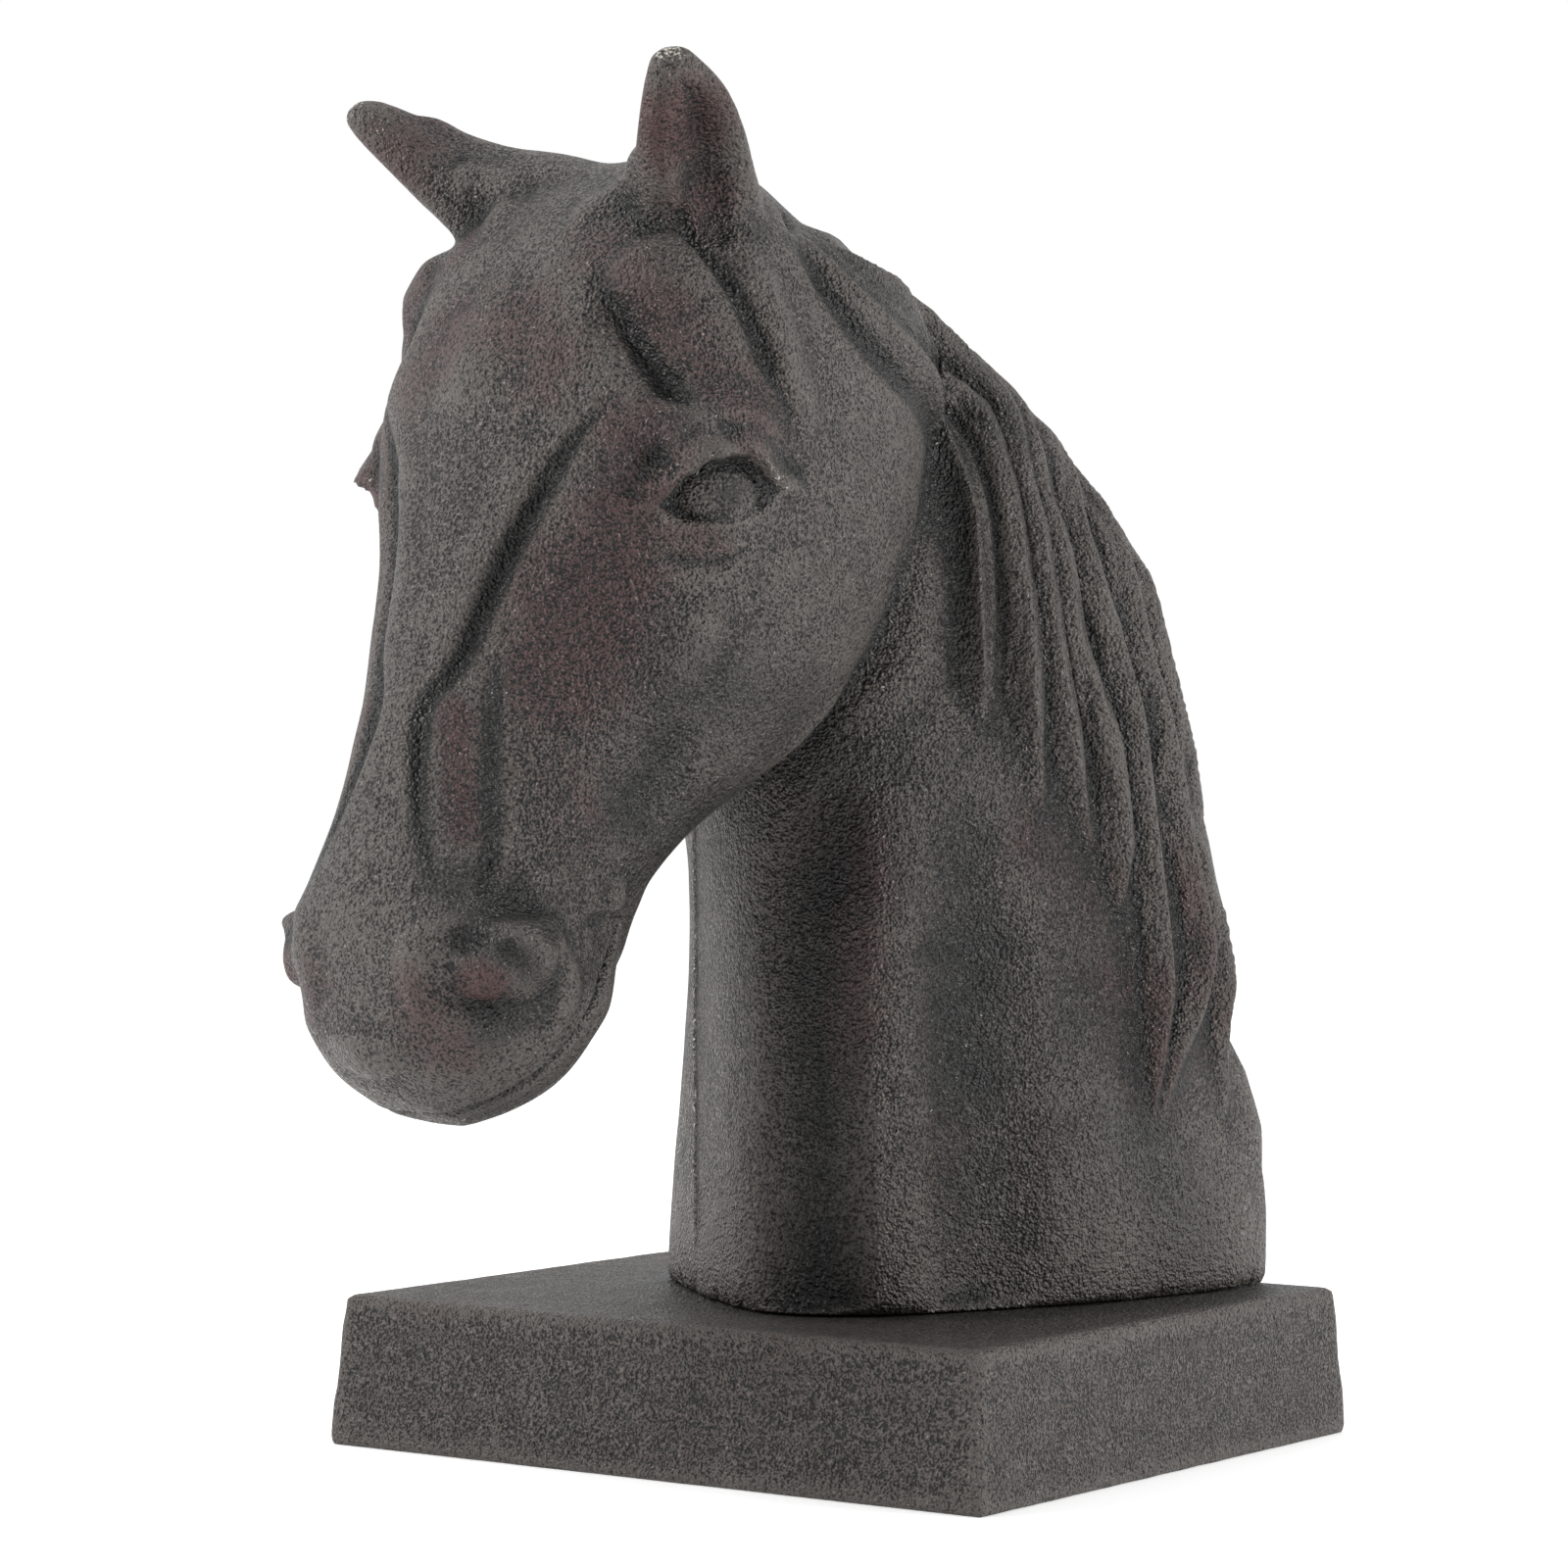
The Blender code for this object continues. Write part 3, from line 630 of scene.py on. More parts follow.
def strokeShare(places, path, reach, sharp, ends):
    # 1 on the path and 0 at its reach; sharp makes a crest of it, ends are its tapers as shares of its
    # length, where it gets narrower and lower
    low, high = path.min(axis=0) - reach, path.max(axis=0) + reach
    near = np.where(np.all((places > low) & (places < high), axis=1))[0]
    share = np.zeros(len(places))
    if not len(near):
        return share
    points = places[near]
    gap = np.linalg.norm(points - path[0], axis=1)
    run = np.zeros(len(points))
    for k, (one, two) in enumerate(zip(path, path[1:])):
        step = two - one
        t = np.clip((points - one) @ step / max(step @ step, 1e-9), 0.0, 1.0)
        away = np.linalg.norm(points - one - t[:, None] * step, axis=1)
        closer = away < gap
        gap[closer] = away[closer]
        run[closer] = (k + t[closer]) / (len(path) - 1)
    taper = np.ones(len(points))
    if len(path) > 1:
        for length, way in ((ends[0], run), (ends[1], 1 - run)):
            if length > 0:
                taper *= np.clip(way / length, 0.0, 1.0)
    gap = np.clip(gap / (reach * (0.4 + 0.6 * taper)), 0.0, 1.0)
    swell = (1 - gap ** 2) ** 2
    crest = (1 - gap) ** 2
    share[near] = (swell * (1 - sharp) + crest * sharp) * taper
    return share


def carve(mesh, strokes, hands=(1.0, -1.0)):
    # Raises or sinks the skin along strokes on the hands named, half by each where they share a path
    tree = skinTree(mesh)
    places, normals = readMesh(mesh)
    total = np.zeros(len(places))
    for _, reach, lift, sharp, ends, *points in strokes:
        for hand in hands:
            share = strokeShare(places, skinPath(points, hand, tree), reach, sharp, ends)
            middle = all(len(point) == 3 and point[2] == 0 for point in points)
            total += lift * share * (0.5 if middle else 1.0)
    writeMesh(mesh, places + normals * total[:, None])


# Strokes: name, reach, lift, sharpness, tapers at start and end, then points as along, lift and side
# on the head, or r and height on the neck
headStrokes = [
    ("forehead", 9.0, 1.2, 0, (0.3, 0.3), (22, 13, 0), (36, 14, 0), (48, 12, 0)),
    ("temple", 10.0, 1.7, 0, (0.3, 0.3), (16, 7, 18), (20, 6, 22), (27, 5, 24)),
    ("crest trim", 13.0, -1.9, 0, (0.1, 0.2), (0, -13, 19), (-2, -24, 16), (-4, -34, 12), (-5, -44, 8),
     (-3, -50, 12)),
    ("ear back notch", 7.0, -2.0, 0, (0.3, 0.3), (0, -15, 21), (2, -19, 21)),
    ("temple hollow", 6.0, -1.6, 0, (0.3, 0.15), (22, 11, 15), (28, 9, 20), (33, 5, 24), (37, 1, 28)),
    ("brow bone", 6.0, 2.0, 0, (0.3, 0.3), (44, 3, 25), (39, -2, 30), (37, -10, 32), (38, -18, 31)),
    ("ear root ridge", 5.5, 1.2, 0, (0.2, 0.3), (11, -3, 24), (20, -9, 29), (28, -16, 31), (34, -24, 31)),
    ("temple groove", 5.0, -1.0, 0, (0.2, 0.2), (10, 6, 22), (16, -1, 25), (23, -7, 29), (30, -12, 31)),
    ("poll ridge", 4.5, 1.2, 0, (0.1, 0.4), (5, 11, 19), (6, 8, 12), (11, 9, 9), (17, 11, 9)),
    ("eye mound", 9.5, 3.6, 0, (0.3, 0.3), (48.5, -2, 28), (46, -4, 29.5), (44, -8, 31.5)),
    ("face crest", 6.0, 1.0, 0, (0.3, 0.3), (58, -13, 29), (66, -14, 27), (76, -13, 24)),
    ("cheek hollow", 10.0, -1.3, 0, (0.3, 0.3), (74, -20, 24), (84, -18, 21), (94, -14, 19)),
    ("cheek rim", 6.0, 1.0, 0, (0.2, 0.2), (80, -38, 18), (68, -50, 23), (56, -56, 25.5), (42, -57, 26),
     (28, -51, 26)),
    ("nostril pocket", 6.0, -0.9, 0, (0.3, 0.3), (104, 4, 14), (104, 0, 17), (106, -6, 20)),
    ("nostril flare", 12.0, 3.0, 0, (0.3, 0.3), (110, 1, 18), (114, -2, 21), (119, -7, 22)),
    ("nostril bowl", 7.8, -2.8, 0, (0, 0), (118.4, -0.8, 18)),
    ("upper lip front", 9.0, 1.3, 0, (0.3, 0.3), (126, 3, 0), (131, -5, 0)),
    ("lip side", 7.0, 0.7, 0, (0.4, 0.4), (102, -27, 13), (108, -25, 15), (114, -23, 16), (120, -21, 16)),
    ("chin", 7.0, 0.7, 0, (0.3, 0.3), (92, -33, 7), (101, -31, 9), (108, -30, 10)),
    ("mouth corner", 3.5, -0.7, 0, (0.3, 0.3), (103, -17, 18.5), (105, -18, 18.5)),
]
# On the left side only
leftStrokes = [
    ("mane edge", 3.4, -0.9, 0.2, (0.2, 0.3), (6, -14, 26), (10, -19, 27.5), (14, -26, 29), (16, -34, 29.5),
     (17, -43, 28), (19, -52, 26)),
]
creaseStrokes = [
    ("nose crease", 2.8, -1.4, 0.5, (0.15, 0.25), (36, 7, 24), (46, 8, 17), (53, 8, 14), (60, 8, 11.5),
     (68, 8, 9.5), (77, 8, 7.5), (84, 9.5, 4.8), (91.6, 8.5, 5.5), (100.9, 7.9, 8.5), (107, 6.7, 11.4)),
    ("nose side hollow", 3.0, -0.6, 0.2, (0.5, 0.3), (74, 6, 13), (80, 6, 12), (89.5, 3.1, 12.6),
     (99.8, 1.3, 14.6), (107, 2.5, 16)),
    ("temple crease", 2.8, -1.4, 0.3, (0.5, 0.2), (24, 10, 17), (29, 8, 21), (34, 4, 25), (38, 0, 29)),
    ("ear root crease", 2.4, -0.9, 0.3, (0.3, 0.3), (5, 7, 20), (12, 4, 23), (20, -4, 28), (28, -11, 31),
     (34, -18, 32)),
    ("nose edge", 4.5, 0.6, 0, (0.2, 0.3), (44, 12, 13), (56, 11, 9), (68, 11, 6), (80, 11, 5)),
    ("face edge", 4.5, 0.5, 0, (0.2, 0.3), (48, 6, 21), (58, 5, 17), (70, 5, 13.5), (80, 5, 12)),
    ("ala ridge", 3.6, 0.9, 0.1, (0.4, 0.4), (107, -3, 19), (109, -8, 21), (113, -12, 21.5),
     (119, -13.5, 20.5), (124, -13, 18.5)),
    ("bowl rim", 4.2, 0.8, 0, (0.4, 0.4), (111, 6.5, 13), (116, 7, 11), (121, 5.5, 10), (126.5, 1.0, 11.5)),
    ("nostril roof", 3.4, -1.3, 0, (0.3, 0.3), (115.5, 6, 13), (113.5, 3, 17), (113, -1, 20), (115, -5, 21)),
    ("nostril disc", 4.2, 1.2, 0, (0, 0), (118.6, -0.4, 18.2)),
    ("mouth", 1.2, -1.6, 0.8, (0.05, 0.05), (101, -25, 16), (107, -23, 16.5), (113, -20, 18), (119, -18, 18),
     (124, -16, 16.5), (129, -14, 14), (132, -13, 9), (133, -13, 5), (134, -13, 0)),
    ("lip corner", 3.6, 0.8, 0, (0.4, 0.4), (101, -18.5, 17.5), (99.5, -21, 17), (100, -24, 16)),
]
eyeStrokes = [
    ("lower fold", 1.9, -0.6, 0.1, (0.3, 0.3), (56.5, -3, 26), (57, -7, 28), (55, -12, 29.5),
     (51, -16.5, 30.5)),
    ("inner corner", 1.8, -0.5, 0.2, (0.2, 0.4), (50.5, -1, 27), (51, 1.5, 25.5), (51.5, 3.5, 24)),
    ("outer corner", 2.0, 0.5, 0.2, (0.1, 0.5), (41.5, -17, 32), (40.5, -21, 31), (40.5, -24, 31)),
]
neckStrokes = [
    ("throat groove", 9.5, -2.3, 0, (0.2, 0.02), (11, 76), (10, 50), (10, 24), (10, 0)),
    ("neck muscle", 9.5, 1.3, 0, (0.2, 0.02), (21, 76), (20, 48), (20, 24), (21, 0)),
    ("long hollow", 13.0, -2.2, 0, (0.3, 0.02), (33, 74), (34, 48), (35, 24), (36, 0)),
    ("heel", 10.0, 0.6, 0, (0.3, 0.3), (82, 38), (85.5, 27), (87.5, 17)),
    ("crest rise", 9.0, 1.2, 0, (0.3, 0.3), (37, 133), (44, 125), (52, 113)),
    ("shoulder", 13.0, 0.8, 0, (0.3, 0.02), (52, 40), (53, 22), (54, 0)),
]
# r, height and side of the mould's parting line down the throat
partingLine = {
    "reach": 0.9,
    "lift": 0.45,
    "sharp": 0.3,
    "tapers": (0.1, 0.1),
    "steps": 30,
    "points": [
        (0.8, 76, -3.5), (1.5, 60, -5.4), (1.8, 45, -6.0), (1.4, 31, -3.4), (0.4, 17, 0.6), (0.2, 4, 2.9),
    ],
}
# Eye: the opening between the lids from the inner corner round the upper lid and back along the lower
eye = {
    "opening": [
        (51.5, -0.5, 27), (49.5, -1.3, 28), (47.0, -2.0, 29), (44.5, -3.4, 30), (42.6, -5.8, 31.5),
        (41.6, -9.0, 33), (41.4, -12.5, 32.5), (41.8, -15.5, 32), (42.6, -18.0, 32), (45.0, -16.6, 31.5),
        (47.8, -13.6, 31), (50.2, -10.4, 31.5), (51.8, -7.0, 30.5), (52.2, -3.6, 29),
    ],
    "upperMiddle": 4,
    "outerCorner": 8,
    "around": 17.0,
    "facingLeast": 0.1,
    "rim": 1.5,
    "edge": 0.9,
    "lidBlend": 4.0,
    "ballRadius": 9.0,
    "ballTop": 0.6,
    "ballDrop": 1.2,
    "deepest": -1.8,
    "upperLift": 2.1,
    "lowerLift": 0.35,
    "lidWidth": 2.1,
    "foldGap": 4.0,
    "foldDepth": 0.45,
    "foldWidth": 1.2,
}

# Mane: a sheet under the locks, a ridge for each and finer hair between, with locks from root to tip.
# Sheet and ridges have tapers for locks that start on the neck, for locks that start on the head, and
# for the tips
mane = {
    "sheet": {"reach": 8.0, "lift": 1.2, "sharp": 0.0, "tapers": (0.12, 0.3, 0.15)},
    "ridge": {"reach": 4.6, "lift": 2.9, "sharp": 0.7, "tapers": (0.1, 0.2, 0.15)},
    "hair": {"reach": 2.0, "lift": 0.45, "sharp": 0.6, "tapers": (0.1, 0.3)},
    "between": (0.33, 0.67),
    "hairSteps": 24,
    "locks": [
        [(3, -17, 23), (6.7, -20, 25.2), (10, -26, 27), (11.5, -34, 27), (12, -42, 25), (13, -50, 22.5),
         (17, -56.6, 22), (26, -61, 26), (35, 105), (34.7, 93), (35, 87), (35.5, 82)],
        [(1, -19, 21), (2, -26, 22), (4, -34, 21), (4, -42, 18.5), (4, -50.5, 17), (8, -55.5, 20),
         (36.5, 127),
         (39, 120), (40.5, 112), (41, 104), (41.5, 96), (42, 88), (43.5, 80), (45, 70)],
        [(-1, -20, 19), (-2, -29, 17), (-4, -38, 13), (-3, -48, 11), (30, 140), (36, 134.5), (41.3, 127),
         (43, 119), (44, 111), (45, 102), (46, 92), (48, 82), (51, 72), (54, 64)],
        [(33, 143), (39, 135), (44, 125), (46, 116), (48, 106), (49, 96), (52, 87), (55, 80), (57, 70),
         (58, 61),
         (59, 55)],
        [(40, 137), (46, 129), (50, 120), (52, 110), (54, 101), (57, 93), (60, 83), (61, 75), (63, 63),
         (65, 48),
         (65, 36), (64, 24)],
        [(47, 131), (53, 122), (57, 113), (60, 104), (62, 94), (65, 85), (68, 75), (70, 66), (72, 58),
         (74, 50),
         (72, 43), (68, 34), (65.5, 25)],
        [(55, 123), (60, 113), (64, 103), (66, 95), (69, 86), (72, 77), (74, 68), (77, 58), (78, 48),
         (78, 38),
         (79, 25)],
        [(63, 113), (68, 102), (71, 91), (74, 79), (76, 68), (79, 57), (81, 46), (82, 37)],
    ],
    # The right side's own first locks, which start at the crest
    "rightLocks": [
        [(10, 157), (18, 150), (25, 141), (29, 134), (32, 128), (34, 122), (35, 116), (36, 109), (35.5, 102),
         (35, 93), (35, 87), (35.5, 82)],
        [(20, 152), (28, 144), (34, 135), (37, 127), (39, 120), (40.5, 112), (41, 104), (41.5, 96), (42, 88),
         (43.5, 80), (45, 70)],
        [(27, 148), (34, 139), (39, 129), (42, 120), (44, 111), (45, 102), (46, 92), (48, 82), (51, 72),
         (54, 64)],
    ],
}


def handLocks(hand):
    if hand > 0:
        return mane["locks"]
    return mane["rightLocks"] + mane["locks"][len(mane["rightLocks"]):]


def raiseMane(mesh, part, first):
    # Raises the mane's sheet or ridges along the locks from the first one named
    tree = skinTree(mesh)
    places, normals = readMesh(mesh)
    total = np.zeros(len(places))
    onNeck, onHead, tip = part["tapers"]
    for hand in (1.0, -1.0):
        for points in handLocks(hand)[first:]:
            tapers = (onHead if len(points[0]) == 3 else onNeck, tip)
            path = skinPath(points, hand, tree)
            total = np.maximum(total, strokeShare(places, path, part["reach"], part["sharp"], tapers))
    writeMesh(mesh, places + normals * (part["lift"] * total)[:, None])


def hairPaths(tree, hand):
    # Fine ridges between each lock's own and the next, the same way along both
    paths = [skinPath(points, hand, tree) for points in handLocks(hand)]
    shares = [k / mane["hairSteps"] for k in range(mane["hairSteps"])]
    between = []
    for one, two in zip(paths, paths[1:]):
        for share in mane["between"]:
            path = [rowAt(one, way) + (rowAt(two, way) - rowAt(one, way)) * share for way in shares]
            between.append(np.array([tree.find_nearest(Vector(place))[0] for place in path]))
    return between


def combHair(mesh):
    tree = skinTree(mesh)
    places, normals = readMesh(mesh)
    total = np.zeros(len(places))
    hair = mane["hair"]
    for hand in (1.0, -1.0):
        for path in hairPaths(tree, hand):
            share = strokeShare(places, path, hair["reach"], hair["sharp"], hair["tapers"])
            total = np.maximum(total, share)
    writeMesh(mesh, places + normals * (hair["lift"] * total)[:, None])


def openEyes(mesh):
    # Sets a ball into each opening and raises the lids round it
    tree = skinTree(mesh)
    places, normals = readMesh(mesh)
    for hand in (1.0, -1.0):
        loop = [headPlace(along, lift, hand * side) for along, lift, side in eye["opening"]]
        loop = np.array([tree.find_nearest(place)[0] for place in loop])
        centre = loop.mean(axis=0)
        near = np.where(np.linalg.norm(places - centre, axis=1) < eye["around"])[0]
        out = unit(normals[near].mean(axis=0))
        near = near[normals[near] @ out > eye["facingLeast"]]
        across = unit(flatTo(loop[eye["outerCorner"]] - loop[0], out))
        up = unit(flatTo(flatTo(loop[eye["upperMiddle"]] - centre, out), across))
        axes = np.array([across, up]).T
        flat = (places[near] - centre) @ axes
        height = (places[near] - centre) @ out
        gap = openingGap(flat, (loop - centre) @ axes)
        level = np.median(height[np.abs(gap) < eye["rim"]])
        spread = ((flat + (0, eye["ballDrop"])) ** 2).sum(axis=1)
        ball = eye["ballTop"] - eye["ballRadius"] + np.sqrt(np.maximum(eye["ballRadius"] ** 2 - spread, 0))
        ball = np.maximum(ball, eye["deepest"]) + level
        upper = np.clip(0.5 + flat[:, 1] / eye["lidBlend"], 0, 1)
        lift = eye["lowerLift"] + (eye["upperLift"] - eye["lowerLift"]) * upper
        lid = height + lift * np.exp(-(np.maximum(gap, 0) / eye["lidWidth"]) ** 2)
        lid -= eye["foldDepth"] * upper * np.exp(-((gap - eye["foldGap"]) / eye["foldWidth"]) ** 2)
        inside = np.clip(0.5 - gap / eye["edge"], 0, 1)
        places[near] += out * ((lid + (ball - lid) * inside) - height)[:, None]
    writeMesh(mesh, places)


def unit(vector):
    return vector / np.linalg.norm(vector)


def flatTo(vector, normal):
    return vector - normal * (vector @ normal)


def openingGap(points, loop):
    # Distance of points from a closed loop, negative inside it
    gap = np.full(len(points), 1e9)
    inside = np.zeros(len(points), bool)
    for one, two in zip(loop, np.roll(loop, -1, axis=0)):
        step = two - one
        t = np.clip((points - one) @ step / max(step @ step, 1e-9), 0.0, 1.0)
        gap = np.minimum(gap, np.linalg.norm(points - one - t[:, None] * step, axis=1))
        crosses = (one[1] > points[:, 1]) != (two[1] > points[:, 1])
        slope = step[0] / (step[1] if abs(step[1]) > 1e-9 else 1e-9)
        inside ^= crosses & (points[:, 0] < one[0] + (points[:, 1] - one[1]) * slope)
    return np.where(inside, -gap, gap)


def partingPath(tree):
    path = [tree.find_nearest(neckPlace(*point))[0] for point in partingLine["points"]]
    return np.array([rowAt(path, k / partingLine["steps"]) for k in range(partingLine["steps"] + 1)])


def markParting(mesh):
    # Raises the thin line where the mould's halves met
    tree = skinTree(mesh)
    places, normals = readMesh(mesh)
    path = partingPath(tree)
    share = strokeShare(places, path, partingLine["reach"], partingLine["sharp"], partingLine["tapers"])
    writeMesh(mesh, places + normals * (partingLine["lift"] * share)[:, None])


# Ears: the dent in each one's front and the rim on either side of it, the rim's places across the ear
# as shares of its half width
earHollow = {
    "dent": {"reach": 6.2, "lift": -3.4, "tapers": (0.3, 0.45), "across": 1.5},
    "rim": {"reach": 3.4, "lift": 0.9, "tapers": (0.3, 0.1), "across": (-0.8, 0.95), "forward": 0.5},
}


def hollowEars(mesh):
    places, normals = readMesh(mesh)
    total = np.zeros(len(places))
    dent, rim = earHollow["dent"], earHollow["rim"]
    for hand in (1.0, -1.0):
        rows, across, facing = earRows(hand)
        across, facing = np.array(across), np.array(facing)
        path = np.array([np.array(row[:3]) + facing * row[4] for row in rows[1:-1]])
        path = path + across * (dent["across"] * hand)
        share = dent["lift"] * strokeShare(places, path, dent["reach"], 0.0, dent["tapers"])
        share[normals @ facing < 0.0] = 0.0
        for edge in rim["across"]:
            path = [np.array(row[:3]) + facing * row[4] * rim["forward"] + across * (row[3] * edge * hand)
                    for row in rows[1:]]
            share += rim["lift"] * strokeShare(places, np.array(path), rim["reach"], 0.0, rim["tapers"])
        total += share
    writeMesh(mesh, places + normals * total[:, None])


def roughCast(mesh, size, height):
    # Slow unevenness of a sand casting, too coarse for the finish's own grain
    places, normals = readMesh(mesh)
    wave = np.array([noise.noise(Vector(place) / size) for place in places])
    writeMesh(mesh, places + normals * (wave * height)[:, None])


def seatBust(item):
    # Rounds the neck in a little above its seat, then cuts it off flat and closes it
    places, normals = readMesh(item.data)
    share = np.clip(1 - places[:, 2] / bust["seatRound"], 0.0, 1.0)
    inset = bust["seatRound"] * (1 - np.sqrt(1 - share ** 2)) * bust["seatInset"]
    outward = normals * (1, 1, 0)
    places -= outward * inset[:, None]
    writeMesh(item.data, places)
    form = bmesh.new()
    form.from_mesh(item.data)
    geometry = form.verts[:] + form.edges[:] + form.faces[:]
    down = (0, 0, -1)
    cut = bmesh.ops.bisect_plane(form, geom=geometry, plane_co=(0, 0, 0), plane_no=down, clear_outer=True)
    rim = [edge for edge in cut["geom_cut"] if isinstance(edge, bmesh.types.BMEdge)]
    bmesh.ops.edgenet_fill(form, edges=rim)
    bmesh.ops.triangulate(form, faces=[face for face in form.faces if len(face.verts) > 4])
    bmesh.ops.recalc_face_normals(form, faces=form.faces)
    form.to_mesh(item.data)
    form.free()


# Depths in millimetres that count as a whole one, and the most that a dip or a rise counts
cavity = {"fine": 0.12, "broad": 0.8, "dipMost": 1.2, "riseMost": 1.0}


def cavities(mesh, places, normals, fine, broad):
    # How far the skin lies under its own smooth form, and over it, after so many rounds of smoothing
    edges = neighbours(mesh)
    near = smoothed(places, edges, fine)
    far = smoothed(near, edges, broad)
    small = np.einsum("ij,ij->i", near - places, normals)
    large = np.einsum("ij,ij->i", far - near, normals)
    dip = small / cavity["fine"] + large / cavity["broad"]
    return np.clip(dip, 0, cavity["dipMost"]), np.clip(-dip, 0, cavity["riseMost"])


def setAttribute(mesh, name, values):
    layer = mesh.attributes.new(name, "FLOAT", "POINT")
    layer.data.foreach_set("value", np.asarray(values, np.float32))


# Paint: reach, strength, then the points of a path or one spot on the skin, for warm places, for sooty
# places with painted shade and painted shadow, for sleek places, and for painted highlights on the lids and
# temples; the locks' soot and shade, the ear tips worn bare, the ears' hollows kept lighter and the parting
# line have the reach and strength alone
patinaAndLight = {
    "warm": [
        (13.0, 1.0, (2, 12, 27)), (10.0, 0.8, (8, 4, 26)), (10.0, 0.7, (18, 10, 14), (27.6, 5, 25.4)),
        (12.0, 0.7, (30, 2, 28), (36, -10, 32)), (13.0, 0.7, (30.5, 14, 5.3), (36, 12, 12)),
        (15.0, 0.9, (46, 3, 24), (58, 1, 22)), (17.0, 0.95, (62, 0, 21), (75, 0, 18)),
        (14.0, 0.5, (86, -2, 16), (93, -8, 18)), (6.0, 1.4, (118.6, -0.2, 18.2)),
        (9.0, 0.6, (122, 4, 9), (127, -2, 12)), (6.0, 0.8, (55, -5, 28), (53, -10, 30)),
        (12.0, 0.6, (44.6, 65.7), (54.7, 58)), (13.0, 0.8, (60, 45), (64.6, 31.7)),
        (14.0, 0.5, (28.5, 21.8)),
        (12.0, 0.6, (14.9, 65.5), (14, 40)), (14.0, 0.5, (46, 22)), (4.5, 0.9, (84, 7, 8), (99, 4, 12)),
        (14.0, 0.7, (70, 60), (76, 40)),
    ],
    # Soot and painted shade: near black along the creases, round the eyes and nostrils and in the neck's
    # grooves, with painted shadow under the jaw, the chin and the muzzle
    "sootAndShade": [
        (5.6, 1.0, (46.3, -9, 31)), (8.0, 0.9, (107, 4, 14), (109, 1, 17), (109, -5, 20)),
        (4.4, 0.8, (114, 3, 16), (113.5, -3, 20.5), (116, -7.5, 21)),
        (4.6, 0.9, (123.5, -4, 18), (120, -8.5, 20.5)),
        (4.0, 0.6, (104, -18, 18.5), (108.8, -19.8, 18.2), (113, -16, 20.5)),
        (3.2, 1.0, (46, 8, 17), (53, 8, 14), (60, 8, 11.5), (68, 8, 9.5), (77, 8, 7.5), (84, 9.5, 4.8),
         (91.6, 8.5, 5.5), (100.9, 7.9, 8.5), (107.2, 6.7, 11.4)),
        (9.0, 0.35, (60, 8, 11.5), (77, 8, 7.5), (91.6, 8.5, 5.5), (107.2, 6.7, 11.4)),
        (3.0, 0.8, (77, 6, 12.5), (89.5, 3.1, 12.6), (99.8, 1.3, 14.6), (107, 2.5, 16)),
        (3.4, 0.7, (24, 10, 17), (29, 8, 21), (34, 3.5, 25)), (3.8, 1.1, (33, 5, 24), (37, 0, 28)),
        (6.0, 0.55, (50, 6, 20), (46, 3.5, 25), (41, 1, 29)), (4.5, 0.35, (39, -3, 31), (38, -20, 31)),
        (3.0, 0.6, (5, 7, 20), (12, 4, 23), (20, -4, 28), (28, -11, 31)),
        (14.0, 0.35, (16, 8, 21), (24, 6, 22)), (15.0, 0.6, (72, -16, 25), (66, -36, 25)),
        (15.0, 0.6, (90, -24, 18), (80, -40, 18)), (13.0, 0.7, (108, -29, 10), (122, -25, 8)),
        (13.0, 0.6, (11, 76), (10, 40), (10, 2)), (15.0, 0.55, (32, 76), (34, 40), (36, 2)),
        (14.0, 0.45, (20, 80), (24, 60)), (10.0, 0.6, (24, 129), (30, 118), (31, 105), (33, 90)),
        (12.0, 0.55, (131, -15, 8), (126, -22, 12)), (20.0, 0.65, (60, 26), (70, 10)),
        (20.0, 0.45, (50, 70), (52, 40), (48, 8)), (6.0, 0.3, (4, 0, 18), (9, -6, 21)),
    ],
    # Soot and painted shade on the left side only, along the mane's edge
    "leftSootAndShade": [
        (13.0, 0.65, (3, -22, 22), (5, -34, 20), (5, -46, 18), (34, 132), (42, 124)),
        (3.6, 0.8, (6, -14, 26), (10, -19, 27.5), (14, -26, 29), (16, -34, 29.5), (17, -43, 28),
         (19, -52, 26)),
    ],
    # Soot and painted shade along every lock of the mane
    "lockSootAndShade": (5.5, 0.38),
    # Painted highlights, as pale specks, on the upper lid's crest and at the temple crease's end
    "bareAndHighlight": [
        (2.0, 0.42, (46.5, -0.5, 29), (42.5, -4.5, 32), (40.6, -11, 33), (42, -18.5, 32)),
        (2.0, 0.3, (36, 1.5, 26.5), (38.5, -2, 30)),
    ],
    "sleek": [(6.0, 1.0, (46.3, -9, 31))],
    "earTip": (3.6, 0.62),
    "earLessSootShade": (9.0, 0.75),
    "parting": (1.3, 0.42),
    "partingTapers": (0.2, 0.1),
    "hollowMost": 1.4,
}


def paintSpots(places, tree, spots, hands=(1.0, -1.0)):
    share = np.zeros(len(places))
    for reach, strength, *points in spots:
        for hand in hands:
            path = skinPath(points, hand, tree)
            share = np.maximum(share, strength * strokeShare(places, path, reach, 0, (0, 0)))
    return share


